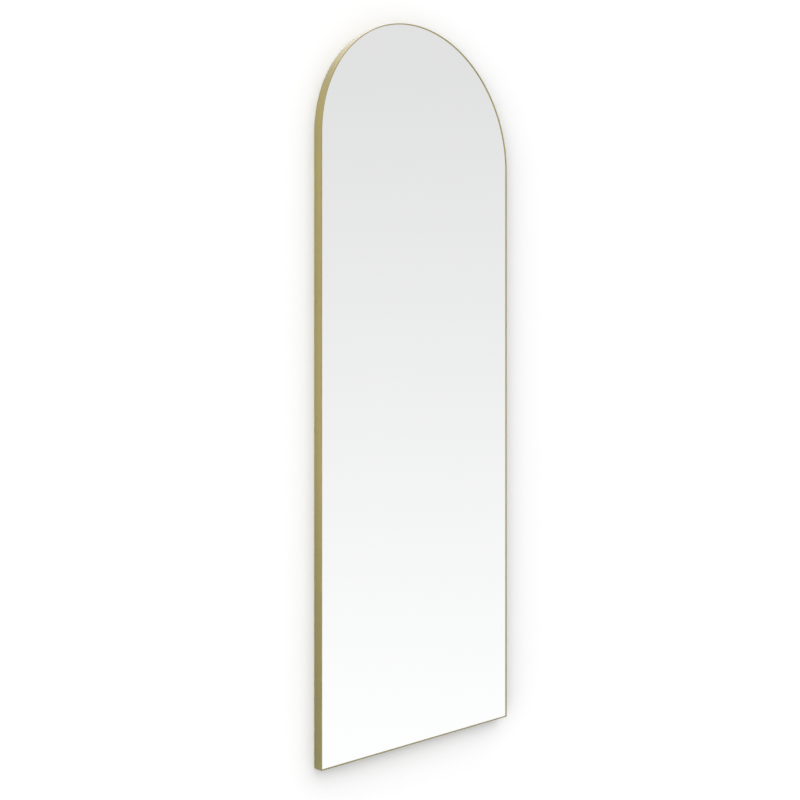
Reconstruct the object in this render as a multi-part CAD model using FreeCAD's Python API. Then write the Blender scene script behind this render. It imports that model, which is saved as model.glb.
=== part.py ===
import FreeCAD, Part
import math
import os

from FreeCAD import Vector

# Arched full-length wall mirror in a slim metal channel frame. Millimetres, +Z up, the glass faces -Y.
# Everything is laid out with x across, y as depth behind the front face and z above the underside of
# the bottom rail. move_to_origin then puts the origin midway between the two keyholes.

# Overall size
WIDTH = 600.0  # across the stiles
HEIGHT = 1700.0  # underside of the bottom rail to the crown of the arch
DEPTH = 26.0  # front lip to the back of the frame
ARCH_RADIUS = WIDTH / 2
SPRING_HEIGHT = HEIGHT - ARCH_RADIUS  # where the stiles turn into the arch

# Frame section: a thin front lip and outer wall, with a channel along the back
LIP_WIDTH = 2.0
LIP_THICKNESS = 1.2
OUTER_WALL = 1.0
CHANNEL_WALL = 1.2
CHANNEL_INSET = 12.0  # outer face of the frame to the inner face of the channel
CHANNEL_FRONT = 15.0  # depth at which the channel begins
SLOT_OUTER_INSET = 4.0  # the slot along the back of the channel
SLOT_INNER_INSET = 8.8
EDGE_BREAK = 0.3

# Glass pack, from the front lip backwards
TAPE_THICKNESS = 0.3
GLASS_THICKNESS = 4.0
SILVER_THICKNESS = 0.1
FILM_THICKNESS = 0.2
FOAM_THICKNESS = 2.0
BOARD_THICKNESS = 5.0
GLASS_INSET = 1.4
SILVER_INSET = 1.6
FILM_INSET = 1.8
FOAM_INSET = 2.4
FOAM_WIDTH = 18.0
BOARD_INSET = 2.0
FOAM_STRIP_HEIGHTS = (400.0, 750.0, 1100.0)

# Rubber packers between the glass edge and the frame
PACKER_LENGTH = 50.0
SETTING_BLOCK_X = 150.0
EDGE_SPACER_HEIGHTS = (300.0, 1100.0)

# Bent spring clips that press the pack forward
CLIP_LENGTH = 46.0
CLIP_CREST = 12.0  # length of the raised middle
CLIP_FOOT_FROM_MIDDLE = 18.0  # where each flat foot begins
CLIP_WIDTH = 6.5
CLIP_THICKNESS = 0.5
CLIP_INSET = 3.2
STILE_CLIP_HEIGHTS = (90.0, 300.0, 520.0, 740.0, 960.0, 1180.0, 1370.0)
ARCH_CLIP_ANGLES = (22.5, 45.0, 67.5, 90.0, 112.5, 135.0, 157.5)
RAIL_CLIP_X = (-180.0, 0.0, 180.0)

# Corner joints
KEY_ARM = 50.0
KEY_OUTER_INSET = 1.2
KEY_INNER_INSET = 10.6
KEY_THICKNESS = 5.0
KEY_CORNER_CUT = 2.0
CORNER_PLATE_THICKNESS = 1.2
SET_SCREW_RADIUS = 2.5
SET_SCREW_FROM_CORNER = 32.0
SET_SCREW_SOCKET = 2.5  # across the flats of the hexagon
SET_SCREW_SOCKET_DEPTH = 2.5

# Hanging bar and brace bars: shallow channels with a plate across each end
BAR_CLEARANCE = 0.5  # between a bar and the backing board
BAR_DEPTH = 8.0
BAR_TALL = 40.0
BAR_WEB = 2.0
BAR_LEG = 1.6
BAR_BEND = 1.5
END_PLATE_THICKNESS = 1.6
END_PLATE_TALL = 64.0
END_PLATE_BACK = 25.0
HANGING_BAR_HEIGHT = 1330.0
MIDDLE_BAR_HEIGHT = 740.0
LOWER_BAR_HEIGHT = 150.0
BAR_HEIGHTS = (HANGING_BAR_HEIGHT, MIDDLE_BAR_HEIGHT, LOWER_BAR_HEIGHT)

# Bar screws and the nut plates they go into
BAR_SCREW_RADIUS = 2.0
BAR_SCREW_HOLE_RADIUS = 2.2
BAR_SCREW_LENGTH = 7.0
BAR_SCREW_HEAD_RADIUS = 3.5
BAR_SCREW_HEAD_HEIGHT = 2.4
BAR_SCREW_DEPTH = 20.5
BAR_SCREW_RISE = 26.0  # above and below the bar's centre line
NUT_PLATE_THICKNESS = 2.4
NUT_PLATE_TALL = 64.0
NUT_PLATE_FRONT = 16.5
NUT_PLATE_BACK = 24.5

# Keyholes in the hanging bar
KEYHOLE_X = 150.0
KEYHOLE_ENTRY_RADIUS = 5.5
KEYHOLE_SLOT_RADIUS = 2.5
KEYHOLE_TRAVEL = 12.0
KEYHOLE_ENTRY_HEIGHT = HANGING_BAR_HEIGHT - KEYHOLE_TRAVEL / 2

# D-ring hangers on the hanging bar
HANGER_X = 225.0
RING_WIRE_RADIUS = 1.75
RING_HALF_WIDTH = 15.25  # to the centre of the wire
RING_CORNER_RADIUS = 3.0
RING_STRAIGHT_DROP = 9.0
RING_AXIS_RISE = 13.0  # above the bar's centre line
RING_RUNNING_CLEARANCE = 0.08
STRAP_THICKNESS = 1.2
STRAP_HALF_WIDTH = 6.0
STRAP_DROPS = (7.5, 15.0)  # from the ring's axis down to each rivet
RIVET_RADIUS = 1.6
RIVET_HEAD_RADIUS = 3.0
RIVET_HEAD_HEIGHT = 1.2
RIVET_TAIL_RADIUS = 2.6
SHANK_CLEARANCE = 0.05

# Soft feet
BUMPER_RADIUS = 5.0
BUMPER_THICKNESS = 2.0
BUMPER_ROUNDING = 0.6
BUMPER_STEM_RADIUS = 2.2
BUMPER_STEM_LENGTH = 2.2
BUMPER_INSET = 6.4
STILE_BUMPER_HEIGHTS = (60.0, 1230.0)
ARCH_BUMPER_ANGLES = (50.0, 130.0)
FLOOR_PAD_LENGTH = 60.0
FLOOR_PAD_WIDTH = 16.0
FLOOR_PAD_THICKNESS = 1.5
FLOOR_PAD_FRONT = 6.0
FLOOR_PAD_X = 225.0

# Depths that follow from the sizes above
TAPE_FRONT = LIP_THICKNESS
GLASS_FRONT = TAPE_FRONT + TAPE_THICKNESS
SILVER_FRONT = GLASS_FRONT + GLASS_THICKNESS
FILM_FRONT = SILVER_FRONT + SILVER_THICKNESS
FOAM_FRONT = FILM_FRONT + FILM_THICKNESS
BOARD_FRONT = FOAM_FRONT + FOAM_THICKNESS
BOARD_BACK = BOARD_FRONT + BOARD_THICKNESS
CHANNEL_FLOOR = CHANNEL_FRONT + CHANNEL_WALL
CHANNEL_LIP = DEPTH - CHANNEL_WALL
CHANNEL_INNER_FACE = CHANNEL_INSET - CHANNEL_WALL
BAR_FRONT = BOARD_BACK + BAR_CLEARANCE
BAR_BACK = BAR_FRONT + BAR_DEPTH
BAR_HALF_SPAN = WIDTH / 2 - CHANNEL_INSET
CURL_BORE_RADIUS = RING_WIRE_RADIUS + RING_RUNNING_CLEARANCE
CURL_RADIUS = CURL_BORE_RADIUS + STRAP_THICKNESS
RING_AXIS_DEPTH = BAR_BACK + CURL_RADIUS
RING_AXIS_HEIGHT = HANGING_BAR_HEIGHT + RING_AXIS_RISE

RIGHT = Vector(1, 0, 0)
BACK = Vector(0, 1, 0)
UP = Vector(0, 0, 1)


# Basic solids

def box(x0, x1, y0, y1, z0, z1):
    """A block between two corners."""
    return Part.makeBox(x1 - x0, y1 - y0, z1 - z0, Vector(x0, y0, z0))


def rod(radius, start, direction, length):
    """A round bar from start along direction."""
    return Part.makeCylinder(radius, length, start, direction)


def mirrored(shape):
    """The same shape on the other side of the mirror's centre plane."""
    return shape.mirror(Vector(0, 0, 0), RIGHT)


def moved(shape, x=0.0, y=0.0, z=0.0):
    """A copy of the shape, shifted."""
    return shape.translated(Vector(x, y, z))


def turned(shape, axis_point, axis, degrees):
    """A copy of the shape, turned about an axis."""
    copy = shape.copy()
    copy.rotate(axis_point, axis, degrees)
    return copy


# Places along the frame. A shape for them is built with x as inset from the frame's outer face, y as
# depth and z along the frame, centred on z = 0.

def on_stile(shape, height):
    """On the left stile."""
    return moved(shape, x=-WIDTH / 2, z=height)


def on_arch(shape, degrees):
    """On the arch, turned from the left end of the arch over the crown."""
    at_left_end = moved(shape, x=-ARCH_RADIUS)
    return moved(turned(at_left_end, Vector(0, 0, 0), BACK, degrees), z=SPRING_HEIGHT)


def on_rail(shape, x):
    """On the bottom rail."""
    return moved(turned(shape, Vector(0, 0, 0), BACK, -90), x=x)


# Arched outlines

def arched_face(inset):
    """The mirror's outline at y = 0, drawn in by inset all round."""
    side = WIDTH / 2 - inset
    lower_left = Vector(-side, 0, inset)
    lower_right = Vector(side, 0, inset)
    upper_right = Vector(side, 0, SPRING_HEIGHT)
    upper_left = Vector(-side, 0, SPRING_HEIGHT)
    crown = Vector(0, 0, SPRING_HEIGHT + side)
    edges = [
        Part.makeLine(lower_left, lower_right),
        Part.makeLine(lower_right, upper_right),
        Part.Arc(upper_right, crown, upper_left).toShape(),
        Part.makeLine(upper_left, lower_left),
    ]
    return Part.Face(Part.Wire(edges))


def arched_plate(inset, front, thickness):
    """A sheet with the mirror's outline."""
    return moved(arched_face(inset), y=front).extrude(BACK * thickness)


def arched_ring(outer_inset, width, front, thickness):
    """A border that follows the mirror's outline."""
    outer = arched_plate(outer_inset, front, thickness)
    return outer.cut(arched_plate(outer_inset + width, front, thickness))


# Frame

def section_face():
    """The frame's section in the plane z = 0, with x as inset and y as depth."""
    outline = [
        (EDGE_BREAK, 0),
        (LIP_WIDTH - EDGE_BREAK, 0),
        (LIP_WIDTH, EDGE_BREAK),
        (LIP_WIDTH, LIP_THICKNESS),
        (OUTER_WALL, LIP_THICKNESS),
        (OUTER_WALL, CHANNEL_FRONT),
        (CHANNEL_INSET, CHANNEL_FRONT),
        (CHANNEL_INSET, DEPTH),
        (SLOT_INNER_INSET, DEPTH),
        (SLOT_INNER_INSET, CHANNEL_LIP),
        (CHANNEL_INNER_FACE, CHANNEL_LIP),
        (CHANNEL_INNER_FACE, CHANNEL_FLOOR),
        (OUTER_WALL, CHANNEL_FLOOR),
        (OUTER_WALL, CHANNEL_LIP),
        (SLOT_OUTER_INSET, CHANNEL_LIP),
        (SLOT_OUTER_INSET, DEPTH),
        (EDGE_BREAK, DEPTH),
        (0, DEPTH - EDGE_BREAK),
        (0, EDGE_BREAK),
    ]
    points = [Vector(inset, depth, 0) for inset, depth in outline]
    return Part.Face(Part.makePolygon(points + points[:1]))


def rail_wedge():
    """The space of the bottom rail, with its ends at 45 degrees."""
    margin = 5.0
    top = CHANNEL_INSET + margin
    low = WIDTH / 2 + margin
    high = WIDTH / 2 - top
    corners = [
        Vector(-low, -margin, -margin),
        Vector(low, -margin, -margin),
        Vector(high, -margin, top),
        Vector(-high, -margin, top),
    ]
    face = Part.Face(Part.makePolygon(corners + corners[:1]))
    return face.extrude(BACK * (DEPTH + 2 * margin))


def bar_screw_places():
    """The depth and height of each bar screw on one side."""
    return [
        (BAR_SCREW_DEPTH, height + rise)
        for height in BAR_HEIGHTS
        for rise in (-BAR_SCREW_RISE, BAR_SCREW_RISE)
    ]


def frame_hoop():
    """Both stiles and the arch, bent from one length."""
    left = on_stile(section_face(), 0).extrude(UP * SPRING_HEIGHT)
    spring_section = on_stile(section_face(), SPRING_HEIGHT)
    arch = spring_section.revolve(Vector(0, 0, SPRING_HEIGHT), BACK, 180)
    hoop = left.multiFuse([arch, mirrored(left)]).removeSplitter()
    hoop = hoop.cut(rail_wedge())
    reach = WIDTH / 2 - SLOT_INNER_INSET
    for depth, height in bar_screw_places():
        for side in (-1, 1):
            start = Vector(side * (BAR_HALF_SPAN - 1), depth, height)
            length = reach - BAR_HALF_SPAN + 1
            hoop = hoop.cut(rod(BAR_SCREW_HOLE_RADIUS, start, RIGHT * side, length))
    return hoop


def frame_bottom_rail():
    """The bottom rail, with its ends cut at 45 degrees."""
    whole = on_rail(section_face(), WIDTH / 2).extrude(RIGHT * -WIDTH)
    return whole.common(rail_wedge())


# Glass pack

def foam_tape():
    """A border of foam tape, with strips across the middle."""
    border = arched_ring(FOAM_INSET, FOAM_WIDTH, FOAM_FRONT, FOAM_THICKNESS)
    reach = WIDTH / 2 - FOAM_INSET - FOAM_WIDTH - 1
    strips = [
        box(-reach, reach, FOAM_FRONT, BOARD_FRONT, height - FOAM_WIDTH / 2, height + FOAM_WIDTH / 2)
        for height in FOAM_STRIP_HEIGHTS
    ]
    return Part.makeCompound([border] + strips)


def packer():
    """A thin rubber strip between the glass edge and the frame's outer wall."""
    half = PACKER_LENGTH / 2
    return box(OUTER_WALL, GLASS_INSET, GLASS_FRONT, SILVER_FRONT, -half, half)


def setting_blocks():
    """The two packers that the glass stands on."""
    return Part.makeCompound([on_rail(packer(), x) for x in (-SETTING_BLOCK_X, SETTING_BLOCK_X)])


def edge_spacers():
    """The packers that centre the glass between the stiles."""
    left = [on_stile(packer(), height) for height in EDGE_SPACER_HEIGHTS]
    return Part.makeCompound(left + [mirrored(spacer) for spacer in left])


def spring_clip():
    """A bent strip: its feet press on the backing board, its raised middle on the channel."""
    lower_side = [
        (-CLIP_LENGTH / 2, BOARD_BACK),
        (-CLIP_FOOT_FROM_MIDDLE, BOARD_BACK),
        (-CLIP_CREST / 2, CHANNEL_FRONT - CLIP_THICKNESS),
        (CLIP_CREST / 2, CHANNEL_FRONT - CLIP_THICKNESS),
        (CLIP_FOOT_FROM_MIDDLE, BOARD_BACK),
        (CLIP_LENGTH / 2, BOARD_BACK),
    ]
    upper_side = [(along, depth + CLIP_THICKNESS) for along, depth in reversed(lower_side)]
    points = [Vector(CLIP_INSET, depth, along) for along, depth in lower_side + upper_side]
    return Part.Face(Part.makePolygon(points + points[:1])).extrude(RIGHT * CLIP_WIDTH)


def spring_clips_left():
    """The clips of the left stile."""
    return Part.makeCompound([on_stile(spring_clip(), height) for height in STILE_CLIP_HEIGHTS])


def spring_clips_arch():
    """The clips round the arch."""
    return Part.makeCompound([on_arch(spring_clip(), angle) for angle in ARCH_CLIP_ANGLES])


def spring_clips_rail():
    """The clips of the bottom rail."""
    return Part.makeCompound([on_rail(spring_clip(), x) for x in RAIL_CLIP_X])


# Corner joints

def corner_angle(front, thickness):
    """A flat L in the left bottom corner of the channel."""
    near = -WIDTH / 2 + KEY_OUTER_INSET
    inner = -WIDTH / 2 + KEY_INNER_INSET
    corners = [
        (near + KEY_CORNER_CUT, KEY_OUTER_INSET),
        (-WIDTH / 2 + KEY_ARM, KEY_OUTER_INSET),
        (-WIDTH / 2 + KEY_ARM, KEY_INNER_INSET),
        (inner, KEY_INNER_INSET),
        (inner, KEY_ARM),
        (near, KEY_ARM),
        (near, KEY_OUTER_INSET + KEY_CORNER_CUT),
    ]
    points = [Vector(x, front, z) for x, z in corners]
    return Part.Face(Part.makePolygon(points + points[:1])).extrude(BACK * thickness)


def set_screw_places():
    """The x and z of the left corner's two set screws, one on each arm."""
    middle = (KEY_OUTER_INSET + KEY_INNER_INSET) / 2
    return [
        (-WIDTH / 2 + SET_SCREW_FROM_CORNER, middle),
        (-WIDTH / 2 + middle, SET_SCREW_FROM_CORNER),
    ]


def corner_key():
    """The thick L, threaded for the set screws, under the channel's back lips."""
    front = CHANNEL_LIP - KEY_THICKNESS
    key = corner_angle(front, KEY_THICKNESS)
    for x, z in set_screw_places():
        key = key.cut(rod(SET_SCREW_RADIUS, Vector(x, front, z), BACK, KEY_THICKNESS))
    return key


def corner_plate():
    """The thin L that the set screws press against the channel's floor."""
    return corner_angle(CHANNEL_FLOOR, CORNER_PLATE_THICKNESS)


def hexagon(across_flats):
    """A hexagonal face in the plane y = 0."""
    radius = across_flats / math.sqrt(3)
    points = [
        Vector(radius * math.cos(math.radians(60 * i)), 0, radius * math.sin(math.radians(60 * i)))
        for i in range(6)
    ]
    return Part.Face(Part.makePolygon(points + points[:1]))


def corner_set_screws():
    """The left corner's set screws, with a hexagon socket in the back end."""
    front = CHANNEL_FLOOR + CORNER_PLATE_THICKNESS
    socket = hexagon(SET_SCREW_SOCKET).extrude(BACK * SET_SCREW_SOCKET_DEPTH)
    screws = []
    for x, z in set_screw_places():
        body = rod(SET_SCREW_RADIUS - SHANK_CLEARANCE, Vector(x, front, z), BACK, CHANNEL_LIP - front)
        screws.append(body.cut(moved(socket, x, CHANNEL_LIP - SET_SCREW_SOCKET_DEPTH, z)))
    return Part.makeCompound(screws)


# Bars across the back

def bar(height):
    """A shallow channel, open to the front, with a plate across each end."""
    half = BAR_TALL / 2
    block = box(-BAR_HALF_SPAN, BAR_HALF_SPAN, BAR_FRONT, BAR_BACK, height - half, height + half)
    back_edges = [
        edge for edge in block.Edges
        if all(abs(vertex.Y - BAR_BACK) < 1e-6 for vertex in edge.Vertexes)
        and abs(edge.Vertexes[0].Z - edge.Vertexes[1].Z) < 1e-6
    ]
    block = block.makeFillet(BAR_BEND, back_edges)
    hollow_half = half - BAR_LEG
    hollow = box(
        -BAR_HALF_SPAN, BAR_HALF_SPAN, BAR_FRONT, BAR_BACK - BAR_WEB, height - hollow_half, height + hollow_half
    )
    bar_solid = block.cut(hollow)
    return bar_solid.multiFuse([end_plate(height), mirrored(end_plate(height))]).removeSplitter()


def end_plate(height):
    """The left end plate, with a hole for each of its two screws."""
    half = END_PLATE_TALL / 2
    plate = box(
        -BAR_HALF_SPAN, -BAR_HALF_SPAN + END_PLATE_THICKNESS, BAR_FRONT, END_PLATE_BACK,
        height - half, height + half,
    )
    for rise in (-BAR_SCREW_RISE, BAR_SCREW_RISE):
        start = Vector(-BAR_HALF_SPAN, BAR_SCREW_DEPTH, height + rise)
        plate = plate.cut(rod(BAR_SCREW_HOLE_RADIUS, start, RIGHT, END_PLATE_THICKNESS))
    return plate


def keyhole(x):
    """The space of one keyhole through the web: a round entry with a slot above it."""
    front = BAR_BACK - BAR_WEB
    top = KEYHOLE_ENTRY_HEIGHT + KEYHOLE_TRAVEL
    entry = rod(KEYHOLE_ENTRY_RADIUS, Vector(x, front, KEYHOLE_ENTRY_HEIGHT), BACK, BAR_WEB)
    seat = rod(KEYHOLE_SLOT_RADIUS, Vector(x, front, top), BACK, BAR_WEB)
    slot = box(x - KEYHOLE_SLOT_RADIUS, x + KEYHOLE_SLOT_RADIUS, front, BAR_BACK, KEYHOLE_ENTRY_HEIGHT, top)
    return entry.multiFuse([slot, seat])


def rivet_places(x):
    """The x and z of one hanger's rivets."""
    return [(x, RING_AXIS_HEIGHT - drop) for drop in STRAP_DROPS]


def hanging_bar():
    """The upper bar, with two keyholes and the rivet holes of the two hangers."""
    solid = bar(HANGING_BAR_HEIGHT)
    front = BAR_BACK - BAR_WEB
    for side in (-1, 1):
        solid = solid.cut(keyhole(side * KEYHOLE_X))
        for x, z in rivet_places(side * HANGER_X):
            solid = solid.cut(rod(RIVET_RADIUS + SHANK_CLEARANCE, Vector(x, front, z), BACK, BAR_WEB))
    return solid


def bar_nut_plates():
    """The left stile's nut plates, which lie inside its channel."""
    outer = -WIDTH / 2 + CHANNEL_INNER_FACE - NUT_PLATE_THICKNESS
    half = NUT_PLATE_TALL / 2
    plates = []
    for height in BAR_HEIGHTS:
        plate = box(
            outer, outer + NUT_PLATE_THICKNESS, NUT_PLATE_FRONT, NUT_PLATE_BACK, height - half, height + half
        )
        for rise in (-BAR_SCREW_RISE, BAR_SCREW_RISE):
            start = Vector(outer, BAR_SCREW_DEPTH, height + rise)
            plate = plate.cut(rod(BAR_SCREW_RADIUS, start, RIGHT, NUT_PLATE_THICKNESS))
        plates.append(plate)
    return Part.makeCompound(plates)


def cross_recess(radius, depth):
    """A cross cut for a driver, in the plane x = 0, going into +X."""
    arm = radius / 4
    bars = [
        box(0, depth, -radius, radius, -arm, arm),
        box(0, depth, -arm, arm, -radius, radius),
    ]
    return bars[0].fuse(bars[1])


def bar_screw(height):
    """One pan head screw of the left stile, driven outwards from inside the frame."""
    seat = -BAR_HALF_SPAN + END_PLATE_THICKNESS
    head_face = seat + BAR_SCREW_HEAD_HEIGHT
    head = rod(BAR_SCREW_HEAD_RADIUS, Vector(seat, 0, 0), RIGHT, BAR_SCREW_HEAD_HEIGHT)
    rim = [edge for edge in head.Edges if abs(edge.CenterOfMass.x - head_face) < 1e-6]
    head = head.makeFillet(BAR_SCREW_HEAD_HEIGHT / 2, rim)
    depth = BAR_SCREW_HEAD_HEIGHT / 2
    recess = moved(cross_recess(BAR_SCREW_HEAD_RADIUS / 2, depth), x=head_face - depth)
    shank = rod(BAR_SCREW_RADIUS - SHANK_CLEARANCE, Vector(seat, 0, 0), -RIGHT, BAR_SCREW_LENGTH)
    return moved(head.cut(recess).fuse(shank), y=BAR_SCREW_DEPTH, z=height)


def bar_screws():
    """The left stile's six bar screws."""
    return Part.makeCompound([bar_screw(height) for _, height in bar_screw_places()])


# D-ring hangers

def hanger_strap(x):
    """A riveted strap, curled round the ring's straight leg."""
    lowest = RING_AXIS_HEIGHT - STRAP_DROPS[-1]
    plate = box(
        x - STRAP_HALF_WIDTH, x + STRAP_HALF_WIDTH, BAR_BACK, BAR_BACK + STRAP_THICKNESS,
        lowest, RING_AXIS_HEIGHT,
    )
    round_end = rod(STRAP_HALF_WIDTH, Vector(x, BAR_BACK, lowest), BACK, STRAP_THICKNESS)
    axis_start = Vector(x - STRAP_HALF_WIDTH, RING_AXIS_DEPTH, RING_AXIS_HEIGHT)
    curl = rod(CURL_RADIUS, axis_start, RIGHT, 2 * STRAP_HALF_WIDTH)
    strap = curl.multiFuse([plate, round_end])
    strap = strap.cut(rod(CURL_BORE_RADIUS, axis_start, RIGHT, 2 * STRAP_HALF_WIDTH))
    for rivet_x, rivet_z in rivet_places(x):
        hole = rod(RIVET_RADIUS + SHANK_CLEARANCE, Vector(rivet_x, BAR_BACK, rivet_z), BACK, STRAP_THICKNESS)
        strap = strap.cut(hole)
    return strap.removeSplitter()


def rivet(x, z):
    """A dome rivet through a strap and the bar's web."""
    web_front = BAR_BACK - BAR_WEB
    strap_back = BAR_BACK + STRAP_THICKNESS
    dome_radius = (RIVET_HEAD_RADIUS ** 2 + RIVET_HEAD_HEIGHT ** 2) / (2 * RIVET_HEAD_HEIGHT)
    dome = Part.makeSphere(dome_radius, Vector(x, strap_back + RIVET_HEAD_HEIGHT - dome_radius, z))
    above = box(
        x - dome_radius, x + dome_radius, strap_back, strap_back + RIVET_HEAD_HEIGHT,
        z - dome_radius, z + dome_radius,
    )
    shank = rod(RIVET_RADIUS, Vector(x, web_front, z), BACK, strap_back - web_front)
    tail = rod(RIVET_TAIL_RADIUS, Vector(x, web_front - RIVET_HEAD_HEIGHT, z), BACK, RIVET_HEAD_HEIGHT)
    return dome.common(above).multiFuse([shank, tail])


def hanger_rivets(x):
    """The two rivets of one hanger."""
    return Part.makeCompound([rivet(rivet_x, rivet_z) for rivet_x, rivet_z in rivet_places(x)])


def ring_path(x):
    """The centre line of a D-ring that hangs down from its straight leg."""
    y = RING_AXIS_DEPTH
    top = RING_AXIS_HEIGHT
    bend = RING_CORNER_RADIUS
    leg = RING_HALF_WIDTH - bend
    low = top - RING_STRAIGHT_DROP
    bend_middle = bend * (1 - math.sqrt(0.5))
    left_leg_end = Vector(x - leg, y, top)
    right_leg_end = Vector(x + leg, y, top)
    left_side = x - RING_HALF_WIDTH
    right_side = x + RING_HALF_WIDTH
    right_bend = Part.Arc(
        right_leg_end,
        Vector(right_side - bend_middle, y, top - bend_middle),
        Vector(right_side, y, top - bend),
    )
    left_bend = Part.Arc(
        Vector(left_side, y, top - bend),
        Vector(left_side + bend_middle, y, top - bend_middle),
        left_leg_end,
    )
    bow = Part.Arc(
        Vector(right_side, y, low),
        Vector(x, y, low - RING_HALF_WIDTH),
        Vector(left_side, y, low),
    )
    middle = Vector(x, y, top)
    return Part.Wire([
        Part.makeLine(middle, right_leg_end),
        right_bend.toShape(),
        Part.makeLine(Vector(right_side, y, top - bend), Vector(right_side, y, low)),
        bow.toShape(),
        Part.makeLine(Vector(left_side, y, low), Vector(left_side, y, top - bend)),
        left_bend.toShape(),
        Part.makeLine(left_leg_end, middle),
    ])


def d_ring(x):
    """A closed wire ring, hanging at rest."""
    start = Vector(x, RING_AXIS_DEPTH, RING_AXIS_HEIGHT)
    wire_section = Part.Wire([Part.makeCircle(RING_WIRE_RADIUS, start, RIGHT)])
    return ring_path(x).makePipeShell([wire_section], True, False)


# Soft feet

def wall_bumper():
    """A round bumper on the frame's back, with a stem in the channel's slot."""
    pad = rod(BUMPER_RADIUS, Vector(BUMPER_INSET, DEPTH, 0), BACK, BUMPER_THICKNESS)
    rim = [edge for edge in pad.Edges if abs(edge.CenterOfMass.y - DEPTH - BUMPER_THICKNESS) < 1e-6]
    pad = pad.makeFillet(BUMPER_ROUNDING, rim)
    stem_start = Vector(BUMPER_INSET, DEPTH - BUMPER_STEM_LENGTH, 0)
    return pad.fuse(rod(BUMPER_STEM_RADIUS, stem_start, BACK, BUMPER_STEM_LENGTH))


def wall_bumpers():
    """Two bumpers on each stile and two on the arch."""
    left = [on_stile(wall_bumper(), height) for height in STILE_BUMPER_HEIGHTS]
    arch = [on_arch(wall_bumper(), angle) for angle in ARCH_BUMPER_ANGLES]
    return Part.makeCompound(left + [mirrored(bumper) for bumper in left] + arch)


def floor_pad():
    """One pad under the bottom rail, at x = 0."""
    half = FLOOR_PAD_LENGTH / 2
    back = FLOOR_PAD_FRONT + FLOOR_PAD_WIDTH
    return box(-half, half, FLOOR_PAD_FRONT, back, -FLOOR_PAD_THICKNESS, 0)


def floor_pads():
    """The two pads under the bottom rail."""
    return Part.makeCompound([moved(floor_pad(), x=side * FLOOR_PAD_X) for side in (-1, 1)])


def build_nodes():
    """Every node of the mirror, by name."""
    return {
        "frame_hoop": frame_hoop(),
        "frame_bottom_rail": frame_bottom_rail(),
        "corner_key_left": corner_key(),
        "corner_key_right": mirrored(corner_key()),
        "corner_plate_left": corner_plate(),
        "corner_plate_right": mirrored(corner_plate()),
        "corner_set_screws_left": corner_set_screws(),
        "corner_set_screws_right": mirrored(corner_set_screws()),
        "glazing_tape": arched_ring(GLASS_INSET, LIP_WIDTH - GLASS_INSET, TAPE_FRONT, TAPE_THICKNESS),
        "mirror_glass": arched_plate(GLASS_INSET, GLASS_FRONT, GLASS_THICKNESS),
        "silver_coating": arched_plate(SILVER_INSET, SILVER_FRONT, SILVER_THICKNESS),
        "safety_film": arched_plate(FILM_INSET, FILM_FRONT, FILM_THICKNESS),
        "setting_blocks": setting_blocks(),
        "edge_spacers": edge_spacers(),
        "foam_tape": foam_tape(),
        "backing_board": arched_plate(BOARD_INSET, BOARD_FRONT, BOARD_THICKNESS),
        "spring_clips_left": spring_clips_left(),
        "spring_clips_right": mirrored(spring_clips_left()),
        "spring_clips_arch": spring_clips_arch(),
        "spring_clips_rail": spring_clips_rail(),
        "hanging_bar": hanging_bar(),
        "brace_bar_middle": bar(MIDDLE_BAR_HEIGHT),
        "brace_bar_lower": bar(LOWER_BAR_HEIGHT),
        "bar_nut_plates_left": bar_nut_plates(),
        "bar_nut_plates_right": mirrored(bar_nut_plates()),
        "bar_screws_left": bar_screws(),
        "bar_screws_right": mirrored(bar_screws()),
        "hanger_strap_left": hanger_strap(-HANGER_X),
        "hanger_strap_right": hanger_strap(HANGER_X),
        "hanger_rivets_left": hanger_rivets(-HANGER_X),
        "hanger_rivets_right": hanger_rivets(HANGER_X),
        "d_ring_left": d_ring(-HANGER_X),
        "d_ring_right": d_ring(HANGER_X),
        "wall_bumpers": wall_bumpers(),
        "floor_pads": floor_pads(),
    }


def move_to_origin(shape):
    """Put the origin midway between the keyholes' entries, on the hanging bar's back face."""
    return moved(shape, y=-BAR_BACK, z=-KEYHOLE_ENTRY_HEIGHT)


os.makedirs("parts", exist_ok=True)
for name, shape in build_nodes().items():
    move_to_origin(shape).exportStep(os.path.join("parts", name + ".step"))
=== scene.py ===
"""An arched full-length mirror in a slim brushed brass frame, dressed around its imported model.

Lengths are metres in the row frame: x across, +Y towards the wall, +Z up, with the origin midway
between the two keyholes. The glass faces -Y.
"""

import logging
import math
from collections.abc import Callable, Iterable, Sequence
from dataclasses import dataclass
from enum import Enum

import bmesh
import bpy
from bmesh.types import BMEdge, BMesh, BMFace, BMVert
from mathutils import Matrix, Vector


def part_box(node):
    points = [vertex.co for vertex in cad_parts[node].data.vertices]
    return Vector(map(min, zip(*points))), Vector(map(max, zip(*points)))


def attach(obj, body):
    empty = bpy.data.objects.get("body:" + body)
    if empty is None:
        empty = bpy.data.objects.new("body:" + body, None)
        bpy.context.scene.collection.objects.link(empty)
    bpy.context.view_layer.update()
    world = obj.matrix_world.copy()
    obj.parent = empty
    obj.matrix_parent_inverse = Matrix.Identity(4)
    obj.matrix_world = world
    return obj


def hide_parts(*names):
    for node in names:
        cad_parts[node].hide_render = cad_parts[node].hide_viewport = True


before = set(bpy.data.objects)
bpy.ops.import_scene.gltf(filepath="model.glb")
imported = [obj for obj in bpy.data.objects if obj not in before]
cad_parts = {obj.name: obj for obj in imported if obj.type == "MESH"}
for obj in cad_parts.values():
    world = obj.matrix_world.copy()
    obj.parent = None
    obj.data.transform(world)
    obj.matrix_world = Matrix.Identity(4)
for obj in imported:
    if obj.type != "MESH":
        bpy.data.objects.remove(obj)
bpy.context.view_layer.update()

LOG = logging.getLogger("arched_mirror")

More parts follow.
